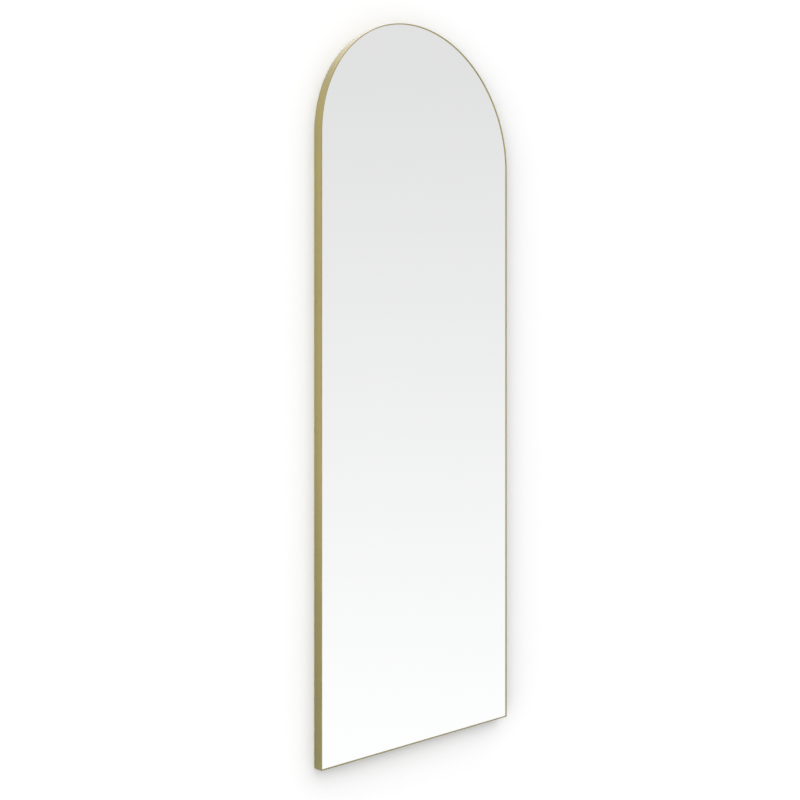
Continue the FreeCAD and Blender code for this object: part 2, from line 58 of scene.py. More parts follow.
MM = 0.001
RIGHT = Vector((1, 0, 0))
BACK = Vector((0, 1, 0))
UP = Vector((0, 0, 1))
IN_PLACE = Matrix.Identity(4)
OTHER_SIDE = Matrix.Scale(-1, 4, RIGHT)
FULL_TURN = 2 * math.pi
HALF_TURN = math.pi
QUARTER_TURN = math.pi / 2
MERGE_DISTANCE = 0.002 * MM
SMOOTH_ANGLE = math.radians(32)
STOCK = "stock"  # attribute: way along the bent metal, inset from its outer face, depth behind its front
MIX_FACTOR = 0  # these four are the Mix node's sockets when it mixes colours
MIX_FIRST = 6
MIX_SECOND = 7
MIX_RESULT = 2
MATT_BOUNCE = 0.5  # a ray with fewer matt bounces than this has had none

Colour = tuple[float, float, float]
Repeats = tuple[float, float, float]
Span = tuple[float, float]
Part = BMVert | BMEdge | BMFace
Socket = bpy.types.NodeSocket
Value = Socket | float


class Body(Enum):
    """The moving bodies of the mirror."""

    MIRROR = "mirror"
    RING_LEFT = "ring_left"
    RING_RIGHT = "ring_right"


class Side(Enum):
    """The two sides of the mirror, seen from the front."""

    LEFT = -1
    RIGHT = 1

    @property
    def word(self) -> str:
        """The side's name as it stands in node names."""
        return self.name.lower()


class Carving(Enum):
    """What a tool shape does to a piece."""

    CUT = "DIFFERENCE"
    KEEP_INSIDE = "INTERSECT"


# Making shapes


def turned(angle: float, axis: Vector) -> Matrix:
    """A turn round an axis through the origin."""
    return Matrix.Rotation(angle, 4, axis)


def verts_of(parts: Iterable[Part]) -> list[BMVert]:
    """The vertices among some parts."""
    return [part for part in parts if isinstance(part, BMVert)]


def edges_of(parts: Iterable[Part]) -> list[BMEdge]:
    """The edges among some parts."""
    return [part for part in parts if isinstance(part, BMEdge)]


def run(edge: BMEdge, axis: Vector) -> float:
    """How far an edge runs along an axis."""
    return abs((edge.verts[1].co - edge.verts[0].co).dot(axis))


class Form:
    """A shape in the making."""

    def __init__(self) -> None:
        """Start with nothing."""
        self.mesh: BMesh = bmesh.new()

    def everything(self) -> list[Part]:
        """All that has been drawn so far."""
        return [*self.mesh.verts, *self.mesh.edges, *self.mesh.faces]

    def wire(self, points: Sequence[Vector]) -> list[BMEdge]:
        """Join points with straight edges.

        Args:
            points: the points, in order.

        Returns:
            The edges, in order.
        """
        verts = [self.mesh.verts.new(point) for point in points]
        return [self.mesh.edges.new(pair) for pair in zip(verts, verts[1:])]

    def panel(self, points: Sequence[Vector]) -> BMFace:
        """Make one flat face.

        Args:
            points: its corners, in order.

        Returns:
            The face.
        """
        return self.mesh.faces.new([self.mesh.verts.new(point) for point in points])

    def block(self, low: Vector, high: Vector) -> list[BMVert]:
        """Make a block between two corners.

        Args:
            low: its lowest corner.
            high: its highest corner.

        Returns:
            Its eight vertices.
        """
        size = high - low
        place = Matrix.Translation((low + high) / 2) @ Matrix.Diagonal((*size, 1))
        return bmesh.ops.create_cube(self.mesh, size=1, matrix=place)["verts"]

    def outline(self, face: BMFace) -> list[BMEdge]:
        """Take a face away and keep its edges.

        Args:
            face: the face to open.

        Returns:
            The edges that stay.
        """
        edges = list(face.edges)
        bmesh.ops.delete(self.mesh, geom=[face], context="FACES_ONLY")
        return edges

    def push(self, edges: Sequence[BMEdge], shift: Vector) -> list[BMEdge]:
        """Sweep edges along a straight line.

        Args:
            edges: the edges to sweep.
            shift: how far they go.

        Returns:
            The edges at the far end.
        """
        grown = bmesh.ops.extrude_edge_only(self.mesh, edges=list(edges))["geom"]
        bmesh.ops.translate(self.mesh, verts=verts_of(grown), vec=shift)
        return edges_of(grown)

    def bend(
        self, parts: Sequence[Part], centre: Vector, axis: Vector, angle: float, steps: int
    ) -> list[Part]:
        """Sweep edges or a vertex round an axis.

        Args:
            parts: what to sweep.
            centre: a point on the axis.
            axis: the axis.
            angle: how far to turn, in radians.
            steps: how many steps the turn has.

        Returns:
            What lies at the far end.
        """
        ends = bmesh.ops.spin(
            self.mesh, geom=list(parts), cent=centre, axis=axis, angle=angle, steps=steps, use_duplicate=False
        )
        return ends["geom_last"]

    def lathe(self, centre: Vector, axis: Vector, steps: int) -> None:
        """Turn everything a full turn about an axis, into a closed round shape.

        Args:
            centre: a point on the axis.
            axis: the axis.
            steps: how many steps the turn has.
        """
        bmesh.ops.spin(
            self.mesh, geom=self.everything(), cent=centre, axis=axis, angle=FULL_TURN, steps=steps,
            use_merge=True,
        )
        self.close_up()

    def skin(self, edges: Sequence[BMEdge]) -> list[BMFace]:
        """Span a loop of edges with a face."""
        return bmesh.ops.contextual_create(self.mesh, geom=list(edges))["faces"]

    def thicken(self, faces: Sequence[BMFace], shift: Vector) -> None:
        """Give flat faces a thickness.

        Args:
            faces: the faces.
            shift: from them to the far side.
        """
        grown = bmesh.ops.extrude_face_region(self.mesh, geom=list(faces))["geom"]
        bmesh.ops.translate(self.mesh, verts=verts_of(grown), vec=shift)
        self.close_up()

    def saw(self, point: Vector, waste: Vector) -> None:
        """Saw along a plane, drop what lies on the waste side and close the cut.

        Args:
            point: a point on the plane.
            waste: the plane's normal, towards what is dropped.
        """
        cut = bmesh.ops.bisect_plane(
            self.mesh, geom=self.everything(), dist=MERGE_DISTANCE,
            plane_co=point, plane_no=waste, clear_outer=True,
        )["geom_cut"]
        bmesh.ops.holes_fill(self.mesh, edges=edges_of(cut))

    def reflect(self, x: float = 0.0) -> None:
        """Add the mirror image of everything, and join the two.

        Args:
            x: where the plane stands that everything is mirrored in.
        """
        bmesh.ops.mirror(
            self.mesh, geom=self.everything(), matrix=Matrix.Translation((-x, 0, 0)),
            merge_dist=MERGE_DISTANCE, axis="X",
        )
        self.close_up()

    def close_up(self) -> None:
        """Merge doubled vertices and point every face outwards."""
        bmesh.ops.remove_doubles(self.mesh, verts=self.mesh.verts, dist=MERGE_DISTANCE)
        bmesh.ops.recalc_face_normals(self.mesh, faces=self.mesh.faces)

    def round_corners(self, face: BMFace, radius: float, steps: int) -> BMFace:
        """Round the outward corners of a flat face.

        Args:
            face: the face.
            radius: of the rounding.
            steps: in each corner.

        Returns:
            The rounded face.
        """
        corners = [loop.vert for loop in face.loops if loop.is_convex]
        bmesh.ops.bevel(
            self.mesh, geom=corners, offset=radius, offset_type="OFFSET", segments=steps, profile=0.5,
            affect="VERTICES", clamp_overlap=False, material=-1,
        )
        return max(self.mesh.faces, key=lambda rounded: rounded.calc_area())

    def ease(self, radius: float, steps: int = 2, chosen: Callable[[BMEdge], bool] | None = None) -> None:
        """Round sharp edges.

        Args:
            radius: of the rounding.
            steps: across the rounding.
            chosen: which of the sharp edges are rounded. All are if it is left out.
        """
        sharp = [
            edge for edge in self.mesh.edges
            if edge.is_manifold and edge.calc_face_angle() > SMOOTH_ANGLE and (chosen is None or chosen(edge))
        ]
        bmesh.ops.bevel(
            self.mesh, geom=sharp, offset=radius, offset_type="OFFSET", segments=steps, profile=0.5,
            affect="EDGES", clamp_overlap=True, material=-1,
        )

    def place(self, matrix: Matrix) -> "Form":
        """Move the whole shape, and give it back."""
        bmesh.ops.transform(self.mesh, matrix=matrix, verts=self.mesh.verts)
        return self

    def add(self, other: "Form", matrix: Matrix = IN_PLACE) -> None:
        """Take in a copy of another shape.

        Args:
            other: the shape to copy.
            matrix: where the copy goes.
        """
        copy = bpy.data.meshes.new("copy")
        other.mesh.to_mesh(copy)
        copy.transform(matrix)
        if matrix.determinant() < 0:
            copy.flip_normals()
        self.mesh.from_mesh(copy)
        bpy.data.meshes.remove(copy)

    def carved(self, tool: "Form", how: Carving) -> "Form":
        """Carve the shape with another one.

        Args:
            tool: the tool's shape.
            how: what the tool does.

        Returns:
            The carved shape.
        """
        blank = self.as_object("blank")
        cutter = tool.as_object("cutter")
        step = blank.modifiers.new("carve", "BOOLEAN")
        step.operation = how.value
        step.solver = "EXACT"
        step.object = cutter
        depsgraph = bpy.context.evaluated_depsgraph_get()
        result = bpy.data.meshes.new_from_object(blank.evaluated_get(depsgraph))
        carved = Form()
        carved.mesh.from_mesh(result)
        for used in (blank, cutter):
            data = used.data
            bpy.data.objects.remove(used)
            bpy.data.meshes.remove(data)
        bpy.data.meshes.remove(result)
        carved.close_up()
        return carved

    def as_object(self, name: str) -> bpy.types.Object:
        """Turn the shape into an object at the origin.

        Args:
            name: the object's name.

        Returns:
            The object, linked to the scene.
        """
        data = bpy.data.meshes.new(name)
        for face in self.mesh.faces:
            face.smooth = True
        self.mesh.to_mesh(data)
        data.set_sharp_from_angle(angle=SMOOTH_ANGLE)
        made = bpy.data.objects.new(name, data)
        bpy.context.scene.collection.objects.link(made)
        return made


# Node materials


@dataclass(frozen=True)
class Cloud:
    """A soft random pattern: features in a metre along each axis, finer layers and their strength."""

    repeats: Repeats
    detail: float = 3.0
    roughness: float = 0.5


def even(repeats: float) -> Repeats:
    """The same number of features in a metre along every axis."""
    return (repeats, repeats, repeats)


class NodeWork:
    """A node tree in the making, joined up node by node."""

    def __init__(self, owner: bpy.types.Material | bpy.types.World) -> None:
        """Start with an empty node tree.

        Args:
            owner: the material or the room that it belongs to.
        """
        owner.use_nodes = True
        self.tree = owner.node_tree
        self.tree.nodes.clear()

    def node(self, kind: str) -> bpy.types.Node:
        """Add a node."""
        return self.tree.nodes.new(kind)

    def fill(self, socket: Socket, value: Value | tuple[float, ...]) -> None:
        """Give a socket a value.

        Args:
            socket: the socket.
            value: a number, a colour or another node's output.
        """
        if isinstance(value, Socket):
            self.tree.links.new(value, socket)
        else:
            socket.default_value = value

    def coordinates(self, kind: str) -> Socket:
        """The place on a piece, or the way into the room."""
        return self.node("ShaderNodeTexCoord").outputs[kind]

    def parts(self, place: Socket) -> bpy.types.NodeOutputs:
        """Take a place apart.

        Args:
            place: the place.

        Returns:
            Its coordinates, called X, Y and Z.
        """
        node = self.node("ShaderNodeSeparateXYZ")
        self.fill(node.inputs["Vector"], place)
        return node.outputs

    def maths(self, operation: str, first: Value, second: Value = 0.0) -> Socket:
        """Work out a sum.

        Args:
            operation: the node's operation.
            first: the first value.
            second: the second value.

        Returns:
            The result.
        """
        node = self.node("ShaderNodeMath")
        node.operation = operation
        self.fill(node.inputs[0], first)
        self.fill(node.inputs[1], second)
        return node.outputs["Value"]

    def ramp(self, value: Value, stretch: Span, results: Span = (0.0, 1.0)) -> Socket:
        """Let a value lead another one evenly.

        Args:
            value: the leading value.
            stretch: where the change begins and ends.
            results: the result before it and the result after it.

        Returns:
            The result.
        """
        node = self.node("ShaderNodeMapRange")
        names = ("From Min", "From Max", "To Min", "To Max")
        for name, number in zip(names, (*stretch, *results)):
            node.inputs[name].default_value = number
        self.fill(node.inputs["Value"], value)
        return node.outputs["Result"]


class Recipe(NodeWork):
    """A finish's material in the making, around one principled shader."""

    def __init__(self, name: str) -> None:
        """Start a material.

        Args:
            name: the material's name.
        """
        self.material = bpy.data.materials.new(name)
        super().__init__(self.material)
        self.shader = self.node("ShaderNodeBsdfPrincipled")
        output = self.node("ShaderNodeOutputMaterial")
        self.fill(output.inputs["Surface"], self.shader.outputs["BSDF"])

    def set(self, **values: float) -> None:
        """Set the shader's own sockets, named with underscores for spaces."""
        for name, value in values.items():
            self.shader.inputs[name.replace("_", " ").title()].default_value = value

    def drive(self, name: str, source: Socket) -> None:
        """Let a pattern drive one of the shader's sockets."""
        self.fill(self.shader.inputs[name], source)

    def stock_space(self) -> Socket:
        """Find the place on the frame's metal as if it were still straight.

        Returns:
            The place: the way along, the inset and the depth.
        """
        node = self.node("ShaderNodeAttribute")
        node.attribute_name = STOCK
        return node.outputs["Vector"]

    def scaled(self, place: Socket, repeats: Repeats) -> Socket:
        """Stretch a pattern.

        Args:
            place: the coordinates.
            repeats: features in a metre, along each axis.

        Returns:
            The stretched coordinates.
        """
        node = self.node("ShaderNodeMapping")
        self.fill(node.inputs["Scale"], repeats)
        self.fill(node.inputs["Vector"], place)
        return node.outputs["Vector"]

    def clouds(self, place: Socket, cloud: Cloud) -> Socket:
        """Lay a soft random pattern.

        Args:
            place: the coordinates.
            cloud: the pattern.

        Returns:
            The pattern, from 0 to 1.
        """
        node = self.node("ShaderNodeTexNoise")
        self.fill(node.inputs["Scale"], 1.0)
        self.fill(node.inputs["Detail"], cloud.detail)
        self.fill(node.inputs["Roughness"], cloud.roughness)
        self.fill(node.inputs["Vector"], self.scaled(place, cloud.repeats))
        return node.outputs["Fac"]

    def cells(self, place: Socket, repeats: Repeats) -> Socket:
        """Lay a pattern of round cells.

        Args:
            place: the coordinates.
            repeats: cells in a metre, along each axis.

        Returns:
            The distance to the nearest cell's middle.
        """
        node = self.node("ShaderNodeTexVoronoi")
        self.fill(node.inputs["Scale"], 1.0)
        self.fill(node.inputs["Vector"], self.scaled(place, repeats))
        return node.outputs["Distance"]

    def spread(self, pattern: Socket, stretch: Span, results: Span = (0.0, 1.0)) -> Socket:
        """Map a stretch of a pattern to other values, with soft ends.

        Args:
            pattern: the pattern.
            stretch: where the change begins and ends.
            results: the value before it and the value after it.

        Returns:
            The mapped pattern.
        """
        mapped = self.ramp(pattern, stretch, results)
        mapped.node.interpolation_type = "SMOOTHSTEP"
        return mapped

    def mixed(self, first: Socket, second: Socket, share: float = 0.5) -> Socket:
        """Mix two patterns.

        Args:
            first: the first pattern.
            second: the second pattern.
            share: how much of the first one there is.

        Returns:
            The mixed pattern.
        """
        much = self.maths("MULTIPLY", first, share)
        rest = self.maths("MULTIPLY", second, 1.0 - share)
        return self.maths("ADD", much, rest)

    def tint(self, pattern: Socket, low: Colour | Socket, high: Colour) -> Socket:
        """Colour a pattern.

        Args:
            pattern: from 0 to 1.
            low: the colour at 0, or a coloured pattern.
            high: the colour at 1.

        Returns:
            The coloured pattern.
        """
        node = self.node("ShaderNodeMix")
        node.data_type = "RGBA"
        self.fill(node.inputs[MIX_FACTOR], pattern)
        self.fill(node.inputs[MIX_FIRST], low if isinstance(low, Socket) else (*low, 1.0))
        self.fill(node.inputs[MIX_SECOND], (*high, 1.0))
        return node.outputs[MIX_RESULT]

    def relief(self, pattern: Socket, height: float) -> None:
        """Raise the surface by a pattern, without changing its shape.

        Args:
            pattern: from 0 to 1.
            height: from 0 to 1 in metres.
        """
        node = self.node("ShaderNodeBump")
        self.fill(node.inputs["Distance"], height)
        self.fill(node.inputs["Height"], pattern)
        self.drive("Normal", node.outputs["Normal"])


@dataclass(frozen=True)
class Finish:
    """A surface finish. Each kind of finish writes its own recipe."""

    name: str

    def write(self, recipe: Recipe) -> None:
        """Set the shader and its patterns."""
        raise NotImplementedError

    def material(self) -> bpy.types.Material:
        """Make the finish's material once.

        Returns:
            The material.
        """
        known = bpy.data.materials.get(self.name)
        if known is None:
            recipe = Recipe(self.name)
            self.write(recipe)
            known = recipe.material
        return known


@dataclass(frozen=True)
class BrushedBrass(Finish):
    """Satin brass, brushed along the metal, worn at its edges, with painted shade making it darker towards
    the mirror's foot.
    """

    dark: Colour = (0.345, 0.285, 0.094)
    light: Colour = (0.420, 0.350, 0.124)
    worn: Colour = (0.62, 0.54, 0.30)
    # painted shade: the darker brass colour that the frame takes on towards the mirror's foot
    foot_shade: Colour = (0.290, 0.252, 0.089)
    streaks: Cloud = Cloud((9.0, 2600.0, 2600.0), detail=4.0, roughness=0.6)
    shading: Cloud = Cloud((2.5, 55.0, 55.0), detail=2.0)
    handling: Cloud = Cloud(even(14.0), detail=4.0, roughness=0.65)
    streak_share: float = 0.6
    colour_stretch: Span = (0.3, 0.7)
    gloss: Span = (0.25, 0.36)
    gloss_stretch: Span = (0.32, 0.68)
    brush_depth: float = 0.006 * MM
    edge_reach: float = 0.9 * MM
    edge_wear: float = 0.55
    wear_stretch: Span = (0.42, 0.62)
    foot: float = 0.0
    # how far up from the foot the painted shade reaches
    foot_shade_reach: float = 0.85
    lacquer: float = 0.6
    lacquer_gloss: float = 0.12

    def write(self, recipe: Recipe) -> None:
        """Set the shader and its patterns.

        Args:
            recipe: the material in the making.
        """
        place = recipe.stock_space()
        streak = recipe.clouds(place, self.streaks)
        shade = recipe.clouds(place, self.shading)
        touched = recipe.clouds(place, self.handling)
        brushed = recipe.spread(recipe.mixed(streak, shade, self.streak_share), self.colour_stretch)
        clean = recipe.tint(brushed, self.dark, self.light)
        height = recipe.parts(recipe.coordinates("Object"))["Z"]
        # painted shade: the brass is darkened over the lower part of the frame, darkest at the mirror's foot
        painted_foot_shade = recipe.spread(height, (self.foot, self.foot + self.foot_shade_reach), (1.0, 0.0))
        colour = recipe.tint(painted_foot_shade, clean, self.foot_shade)
        stock = recipe.parts(place)
        corner = recipe.maths("ADD", stock["Y"], stock["Z"])
        edge = recipe.spread(corner, (0.0, self.edge_reach), (self.edge_wear, 0.0))
        wear = recipe.maths("MULTIPLY", edge, recipe.spread(touched, self.wear_stretch))
        recipe.drive("Base Color", recipe.tint(wear, colour, self.worn))
        rough = recipe.mixed(streak, touched)
        recipe.drive("Roughness", recipe.spread(rough, self.gloss_stretch, self.gloss))
        recipe.set(metallic=1.0, coat_weight=self.lacquer, coat_roughness=self.lacquer_gloss)
        recipe.relief(streak, self.brush_depth)


@dataclass(frozen=True)
class SilveredGlass(Finish):
    """The mirror's face: float glass with its silver, very slightly wavy."""

    silver: Colour = (0.975, 0.98, 0.978)
    shadow: Colour = (0.965, 0.972, 0.97)
    waves: Cloud = Cloud((5.0, 5.0, 3.0), detail=1.0)
    wave_height: float = 0.0006 * MM

    def write(self, recipe: Recipe) -> None:
        """Set the shader and its patterns.

        Args:
            recipe: the material in the making.
        """
        wave = recipe.clouds(recipe.coordinates("Object"), self.waves)
        recipe.drive("Base Color", recipe.tint(wave, self.shadow, self.silver))
        recipe.set(metallic=1.0, roughness=0.0)
        recipe.relief(wave, self.wave_height)


@dataclass(frozen=True)
class DrawnMetal(Finish):
    """Rolled, drawn or extruded metal with fine lines along it and a mottled sheen."""

    dark: Colour = (0.43, 0.44, 0.45)
    light: Colour = (0.56, 0.57, 0.58)
    lines: Cloud = Cloud((10.0, 1500.0, 1500.0), detail=4.0, roughness=0.6)
    mottle: Cloud = Cloud((12.0, 60.0, 60.0))
    stretch: Span = (0.3, 0.7)
    gloss: Span = (0.26, 0.42)
    line_depth: float = 0.01 * MM

    def write(self, recipe: Recipe) -> None:
        """Set the shader and its patterns.

        Args:
            recipe: the material in the making.
        """
        place = recipe.coordinates("Object")
        line = recipe.clouds(place, self.lines)
        mixed = recipe.mixed(line, recipe.clouds(place, self.mottle))
        recipe.drive("Base Color", recipe.tint(recipe.spread(mixed, self.stretch), self.dark, self.light))
        recipe.drive("Roughness", recipe.spread(mixed, self.stretch, self.gloss))
        recipe.set(metallic=1.0)
        recipe.relief(line, self.line_depth)


@dataclass(frozen=True)
class PlatedMetal(Finish):
    """Zinc, nickel or oxide on steel, with a faint second colour in patches and tumbling marks."""

    main: Colour = (0.50, 0.54, 0.60)
    second: Colour = (0.56, 0.56, 0.54)
    patches: Cloud = Cloud(even(140.0), roughness=0.6)
    patch_stretch: Span = (0.35, 0.68)
    marks: Cloud = Cloud(even(900.0), roughness=0.7)
    mark_stretch: Span = (0.3, 0.7)
    gloss: Span = (0.22, 0.38)
    mark_depth: float = 0.008 * MM

    def write(self, recipe: Recipe) -> None:
        """Set the shader and its patterns.

        Args:
            recipe: the material in the making.
        """
        place = recipe.coordinates("Object")
        patch = recipe.spread(recipe.clouds(place, self.patches), self.patch_stretch)
        mark = recipe.clouds(place, self.marks)
        recipe.drive("Base Color", recipe.tint(patch, self.main, self.second))
        recipe.drive("Roughness", recipe.spread(mark, self.mark_stretch, self.gloss))
        recipe.set(metallic=1.0)
        recipe.relief(mark, self.mark_depth)


@dataclass(frozen=True)
class PaintedBoard(Finish):
    """Dark roller-painted board with a fine stipple and a few scuffs."""

    paint: Colour = (0.034, 0.034, 0.036)
    thin_paint: Colour = (0.050, 0.049, 0.049)
    scuff: Colour = (0.11, 0.105, 0.098)
    roller: Cloud = Cloud(even(9.0), detail=5.0, roughness=0.62)
    roller_stretch: Span = (0.35, 0.65)
    stipple: Cloud = Cloud(even(900.0), detail=2.0, roughness=0.6)
    stipple_stretch: Span = (0.38, 0.6)
    scuffs: Cloud = Cloud((38.0, 38.0, 5.0), detail=6.0, roughness=0.72)
    scuff_stretch: Span = (0.64, 0.74)
    gloss: Span = (0.48, 0.68)
    stipple_height: float = 0.05 * MM

    def write(self, recipe: Recipe) -> None:
        """Set the shader and its patterns.

        Args:
            recipe: the material in the making.
        """
        place = recipe.coordinates("Object")
        roller = recipe.clouds(place, self.roller)
        stipple = recipe.clouds(place, self.stipple)
        streak = recipe.spread(recipe.clouds(place, self.scuffs), self.scuff_stretch)
        paint = recipe.tint(recipe.spread(roller, self.roller_stretch), self.paint, self.thin_paint)
        rubbed = recipe.maths("MULTIPLY", streak, recipe.spread(stipple, self.stipple_stretch))
        recipe.drive("Base Color", recipe.tint(rubbed, paint, self.scuff))
        recipe.drive("Roughness", recipe.spread(roller, self.roller_stretch, self.gloss))
        recipe.relief(stipple, self.stipple_height)


@dataclass(frozen=True)
class Moulded(Finish):
    """Rubber, foam, tape or film: a fine skin with slightly uneven colour."""

    main: Colour = (0.03, 0.03, 0.031)
    bloom: Colour = (0.06, 0.059, 0.058)
    clouding: Cloud = Cloud(even(180.0), detail=4.0, roughness=0.6)
    bloom_stretch: Span = (0.4, 0.7)
    grain: float = 1600.0
    gloss: Span = (0.62, 0.82)
    gloss_stretch: Span = (0.3, 0.7)
    grain_height: float = 0.03 * MM

    def write(self, recipe: Recipe) -> None:
        """Set the shader and its patterns.

        Args:
            recipe: the material in the making.
        """
        place = recipe.coordinates("Object")
        cloud = recipe.clouds(place, self.clouding)
        bloom = recipe.spread(cloud, self.bloom_stretch)
        recipe.drive("Base Color", recipe.tint(bloom, self.main, self.bloom))
        recipe.drive("Roughness", recipe.spread(cloud, self.gloss_stretch, self.gloss))
        recipe.relief(recipe.cells(place, even(self.grain)), self.grain_height)


BRASS = BrushedBrass("brushed_brass", foot=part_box("frame_hoop")[0].z)
SILVERED = SilveredGlass("silvered_glass")
BAR_METAL = DrawnMetal("mill_aluminium")
RIVET_METAL = DrawnMetal(
    "rivet_aluminium",
    lines=Cloud((700.0, 40.0, 700.0), detail=4.0, roughness=0.6),
    line_depth=0.006 * MM,
)
KEY_METAL = PlatedMetal(
    "cast_aluminium",
    main=(0.56, 0.57, 0.58),
    second=(0.66, 0.66, 0.66),
    gloss=(0.4, 0.6),
    mark_depth=0.05 * MM,
)
ZINC = PlatedMetal("zinc_plate")
OXIDE = PlatedMetal("black_oxide", main=(0.055, 0.055, 0.06), second=(0.10, 0.095, 0.09))
SPRING = PlatedMetal("spring_steel", main=(0.36, 0.38, 0.42), second=(0.46, 0.45, 0.43))
NICKEL = PlatedMetal(
    "bright_nickel",
    main=(0.72, 0.70, 0.66),
    second=(0.78, 0.765, 0.73),
    gloss=(0.08, 0.19),
    mark_depth=0.003 * MM,
)
BOARD = PaintedBoard("painted_board")
BUMPER_RUBBER = Moulded("bumper_rubber")
PAD_RUBBER = Moulded("pad_rubber", main=(0.085, 0.075, 0.065), bloom=(0.13, 0.12, 0.11))
PACKER_RUBBER = Moulded("packer_rubber", main=(0.05, 0.05, 0.05), bloom=(0.08, 0.08, 0.08))
FOAM = Moulded("grey_foam", main=(0.11, 0.11, 0.12), bloom=(0.18, 0.18, 0.19), grain=900.0, gloss=(0.8, 0.95))
TAPE = Moulded("bedding_tape", main=(0.11, 0.11, 0.11), bloom=(0.16, 0.16, 0.16))
FILM = Moulded(
    "safety_film",
    main=(0.52, 0.56, 0.60),
    bloom=(0.58, 0.61, 0.64),
    gloss=(0.16, 0.3),
    grain_height=0.005 * MM,
)


# The mirror's pieces


def flatten_shading(piece: bpy.types.Object) -> None:
    """Let wide flat faces look flat up to the narrow roundings beside them.

    Args:
        piece: the piece, whose mesh is replaced.
    """
    step = piece.modifiers.new("flats", "WEIGHTED_NORMAL")
    step.keep_sharp = True
    depsgraph = bpy.context.evaluated_depsgraph_get()
    rough = piece.data
    piece.data = bpy.data.meshes.new_from_object(piece.evaluated_get(depsgraph))
    piece.modifiers.clear()
    bpy.data.meshes.remove(rough)


def show(
    name: str, form: Form, finish: Finish, nodes: Sequence[str], body: Body = Body.MIRROR
) -> None:
    """Finish a piece, stand it in for its nodes and report it.

    Args:
        name: the piece's name.
        form: its shape.
        finish: its finish.
        nodes: the nodes that it stands for.
        body: the body that it rides on.
    """
    piece = form.as_object(name)
    flatten_shading(piece)
    piece.data.materials.append(finish.material())
    form.mesh.free()
    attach(piece, body.value)
    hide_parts(*nodes)
    LOG.info("%s: %d faces, %s, for %s", name, len(piece.data.polygons), finish.name, ", ".join(nodes))


@dataclass(frozen=True)
class Outline:
    """The arched outline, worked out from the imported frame."""

    half_width: float
    front: float
    back: float
    foot: float
    crown: float
    arch_steps: int = 96

    @classmethod
    def of_frame(cls) -> "Outline":
        """Read the outline from the frame's nodes."""
        low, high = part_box("frame_hoop")
        return cls(half_width=high.x, front=low.y, back=high.y, foot=low.z, crown=high.z)

    @property
    def spring(self) -> float:
        """The height at which the stiles turn into the arch."""
        return self.crown - self.half_width

    @property
    def arch_centre(self) -> Vector:
        """The arch's centre, at the front."""
        return Vector((0, self.front, self.spring))

    def on_stile(self, height: float) -> Matrix:
        """The place on the left stile: x as inset, y as depth and z along it, from the mirror's foot."""
        return Matrix.Translation((-self.half_width, self.front, self.foot + height))

    def on_arch(self, degrees: float) -> Matrix:
        """The place on the arch, turned from its left end over the crown."""
        turn = turned(math.radians(degrees), BACK)
        return Matrix.Translation(self.arch_centre) @ turn @ Matrix.Translation((-self.half_width, 0, 0))

    def edges(self, form: Form, inset: float, depth: float) -> list[BMEdge]:
        """Draw the outline.

        Args:
            form: what it is drawn in.
            inset: from the frame's outer face.
            depth: behind the front.

        Returns:
            The outline's edges.
        """
        drawing = Form()
        y = self.front + depth
        side = self.half_width - inset
        corner = Vector((-side, y, self.foot + inset))
        drawing.wire([Vector((0, y, corner.z)), corner, Vector((-side, y, self.spring))])
        drawing.mesh.verts.ensure_lookup_table()
        top = drawing.mesh.verts[-1]
        drawing.bend([top], self.arch_centre, BACK, QUARTER_TURN, self.arch_steps)
        drawing.reflect()
        before = set(form.mesh.edges)
        form.add(drawing)
        drawing.mesh.free()
        return [edge for edge in form.mesh.edges if edge not in before]

    def sheet(self, inset: float, front: float, back: float) -> Form:
        """Make a sheet with the mirror's outline.

        Args:
            inset: from the frame's outer face.
            front: its front face's y.
            back: its back face's y.

        Returns:
            The sheet.
        """
        form = Form()
        edges = self.edges(form, inset, front - self.front)
        form.thicken(form.skin(edges), BACK * (back - front))
        return form

    def border(self, inset: float, width: float, front: float, back: float) -> Form:
        """Make a flat border that follows the outline.

        Args:
            inset: from the frame's outer face to the border.
            width: of the border.
            front: its front face's y.
            back: its back face's y.

        Returns:
            The border.
        """
        form = Form()
        rims = [self.edges(form, inset + across, front - self.front) for across in (0, width)]
        faces = bmesh.ops.bridge_loops(form.mesh, edges=rims[0] + rims[1])["faces"]
        form.thicken(faces, BACK * (back - front))
        return form


